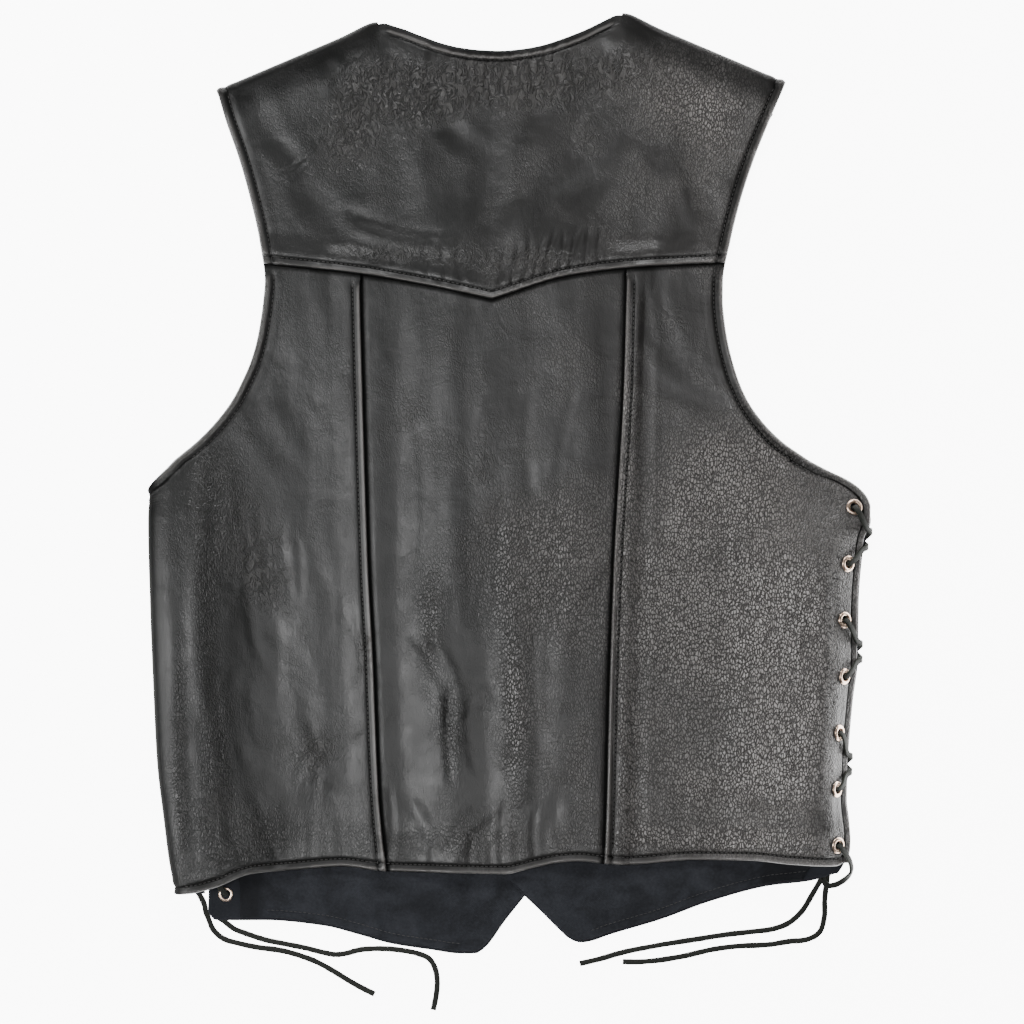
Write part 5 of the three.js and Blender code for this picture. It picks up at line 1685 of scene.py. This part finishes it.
# Profiles of set metal: (radius, height), turned round their own axis
EYELET_PROFILE = (
    (3.35, -1.25), (3.35, 1.2), (3.55, 1.6), (4.0, 1.84), (4.6, 1.9), (5.2, 1.78), (5.75, 1.5), (6.1, 1.2),
    (6.2, 0.95), (6.1, 0.8), (5.6, 0.78), (4.6, 0.8), (4.05, 0.7), (4.05, -0.72), (4.6, -0.76), (5.2, -0.78),
    (5.45, -0.9), (5.4, -1.15), (5.0, -1.42), (4.4, -1.55), (3.8, -1.5),
)
SNAP_PROFILE = (
    (0, 0.0), (5.6, 0.0), (6.1, 0.15), (6.4, 0.5), (6.2, 0.95), (5.6, 1.1), (2.6, 1.1), (2.6, 4.6),
    (4.4, 4.6), (4.8, 4.8), (4.8, 5.2), (4.4, 5.5), (2.2, 5.5), (1.9, 5.1), (0, 5.1),
)


def turn_profiles(name, frames, profile, segments, nodes):
    """One lathed fitting for each frame, in one mesh."""
    closed = profile[0][0] > 0
    bm = bmesh.new()
    for axes, centre in frames:
        part = bmesh.new()
        verts = [part.verts.new((r, 0, z)) for r, z in profile]
        edges = [part.edges.new(pair) for pair in zip(verts, verts[1:])]
        if closed:
            edges.append(part.edges.new((verts[-1], verts[0])))
        bmesh.ops.spin(part, geom=verts + edges, cent=(0, 0, 0), axis=(0, 0, 1), angle=2 * math.pi,
                       steps=segments, use_merge=True)
        bmesh.ops.remove_doubles(part, verts=part.verts[:], dist=1e-4)
        bmesh.ops.recalc_face_normals(part, faces=part.faces[:])
        matrix = Matrix(axes.tolist()).to_4x4() @ Matrix.Scale(MM, 4)
        matrix = Matrix.Translation(Vector(centre) * MM) @ matrix
        bmesh.ops.transform(part, matrix=matrix, verts=part.verts[:])
        if matrix.determinant() < 0:
            bmesh.ops.reverse_faces(part, faces=part.faces[:])
        ready = mesh_of("part", part)
        bm.from_mesh(ready)
        bpy.data.meshes.remove(ready)
    mesh = mesh_of(name, bm)
    mesh.shade_smooth()
    mesh.set_sharp_from_angle(angle=math.radians(60))
    piece = finish_object(name, mesh, [finish_of("metal")])
    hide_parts(*nodes)
    return piece


class VEST_OT_eyelets(bpy.types.Operator):
    """Set eyelets down the four laced edges, and the snap fasteners"""

    bl_idname = "vest.eyelets"
    bl_label = "Eyelets and snaps"

    def execute(self, context):
        segments = context.scene.vest_sizes.eyelet_segments
        for key, frames in LACED.items():
            nodes = [f"eyelet_{key}_{i + 1}" for i in range(eyelet_count)]
            turn_profiles("eyelets_" + key, frames, EYELET_PROFILE, segments, nodes)
        upright = [(np.eye(3), vec(snap_x, y, 0)) for y in SNAPS]
        turn_profiles("snaps", upright, SNAP_PROFILE, segments, [f"snap_{i + 1}" for i in range(len(SNAPS))])
        return {"FINISHED"}


def lining_skin(name, place):
    return Skin(lambda u, y: place(u, y, lining_height), lambda u, y: 0.3 + 0 * u,
                lambda u, y: front_relief(u, y, name))


class VEST_OT_stitching(bpy.types.Operator):
    """Topstitching along every turned edge and lapped seam"""

    bl_idname = "vest.stitching"
    bl_label = "Stitching"

    def execute(self, context):
        pitch = context.scene.vest_sizes.stitch_pitch / MM
        s = skins()
        inside = lambda line, d: (lambda v: line(v) + d * steep(line, v))
        yoke = s["yoke"]
        sew("stitches_yoke", [
            run_of(yoke, inside(yoke_low, folded_stitch), -180, tip_x - 1, pitch, "x"),
            run_of(yoke, inside(yoke_low, folded_stitch), tip_x + 2, 156, pitch, "x"),
            run_of(yoke, inside(neck_edge, -rolled_stitch), neck_left + 8, neck_right - 8, pitch, "x"),
            run_of(yoke, inside(armhole_left, rolled_stitch), 168, 292, pitch),
            run_of(yoke, inside(armhole_right, -rolled_stitch), 169, 297, pitch),
        ])
        sew("stitches_centre", [
            run_of(s["centre"], inside(back_hem, folded_stitch), -94, 70, pitch, "x"),
        ])
        sew("stitches_left", [
            run_of(s["left"], inside(seam_left, -folded_stitch), -286, 154, pitch),
            run_of(s["left"], inside(back_hem, folded_stitch), -244, -100, pitch, "x"),
            run_of(s["left"], inside(side_left, rolled_stitch), 20, 160, pitch),
        ])
        sew("stitches_right", [
            run_of(s["right"], inside(seam_right, folded_stitch), -280, 160, pitch),
            run_of(s["right"], inside(back_hem, folded_stitch), 76, 246, pitch, "x"),
            run_of(s["right"], inside(side_right, -rolled_stitch), 7, 162, pitch),
        ])
        outer, inner = lining_skin("lining_left", on_outer_front), lining_skin("lining_right", on_inner_front)
        sew("stitches_linings", [
            run_of(outer, inside(outer_hem, 8), -184, -38, pitch, "x"),
            run_of(inner, inside(inner_hem, 8), 60, 222, pitch, "x"),
        ], 0.24)
        return {"FINISHED"}


class VEST_PT_panel(bpy.types.Panel):
    """Lists the vest's operators"""

    bl_idname = "VEST_PT_panel"
    bl_label = "Laced vest"
    bl_space_type = "VIEW_3D"
    bl_region_type = "UI"
    bl_category = "Vest"

    def draw(self, context):
        layout = self.layout
        for group in (context.scene.vest_sizes, context.scene.vest_colours):
            for key in group.__annotations__:
                layout.prop(group, key)
        for operator in OPERATORS:
            layout.operator(operator.bl_idname)


OPERATORS = (
    VEST_OT_stage, VEST_OT_laces, VEST_OT_back_centre, VEST_OT_back_sides, VEST_OT_back_yoke, VEST_OT_fronts,
    VEST_OT_linings, VEST_OT_eyelets, VEST_OT_stitching,
)
CLASSES = (VestSizes, VestColours, *OPERATORS, VEST_PT_panel)


def register():
    for item in CLASSES:
        bpy.utils.register_class(item)
    bpy.types.Scene.vest_sizes = PointerProperty(type=VestSizes)
    bpy.types.Scene.vest_colours = PointerProperty(type=VestColours)


def unregister():
    del bpy.types.Scene.vest_colours
    del bpy.types.Scene.vest_sizes
    for item in reversed(CLASSES):
        bpy.utils.unregister_class(item)


def main():
    register()
    for operator in OPERATORS:
        group, name = operator.bl_idname.split(".")
        getattr(getattr(bpy.ops, group), name)()
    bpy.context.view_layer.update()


if __name__ == "__main__":
    main()
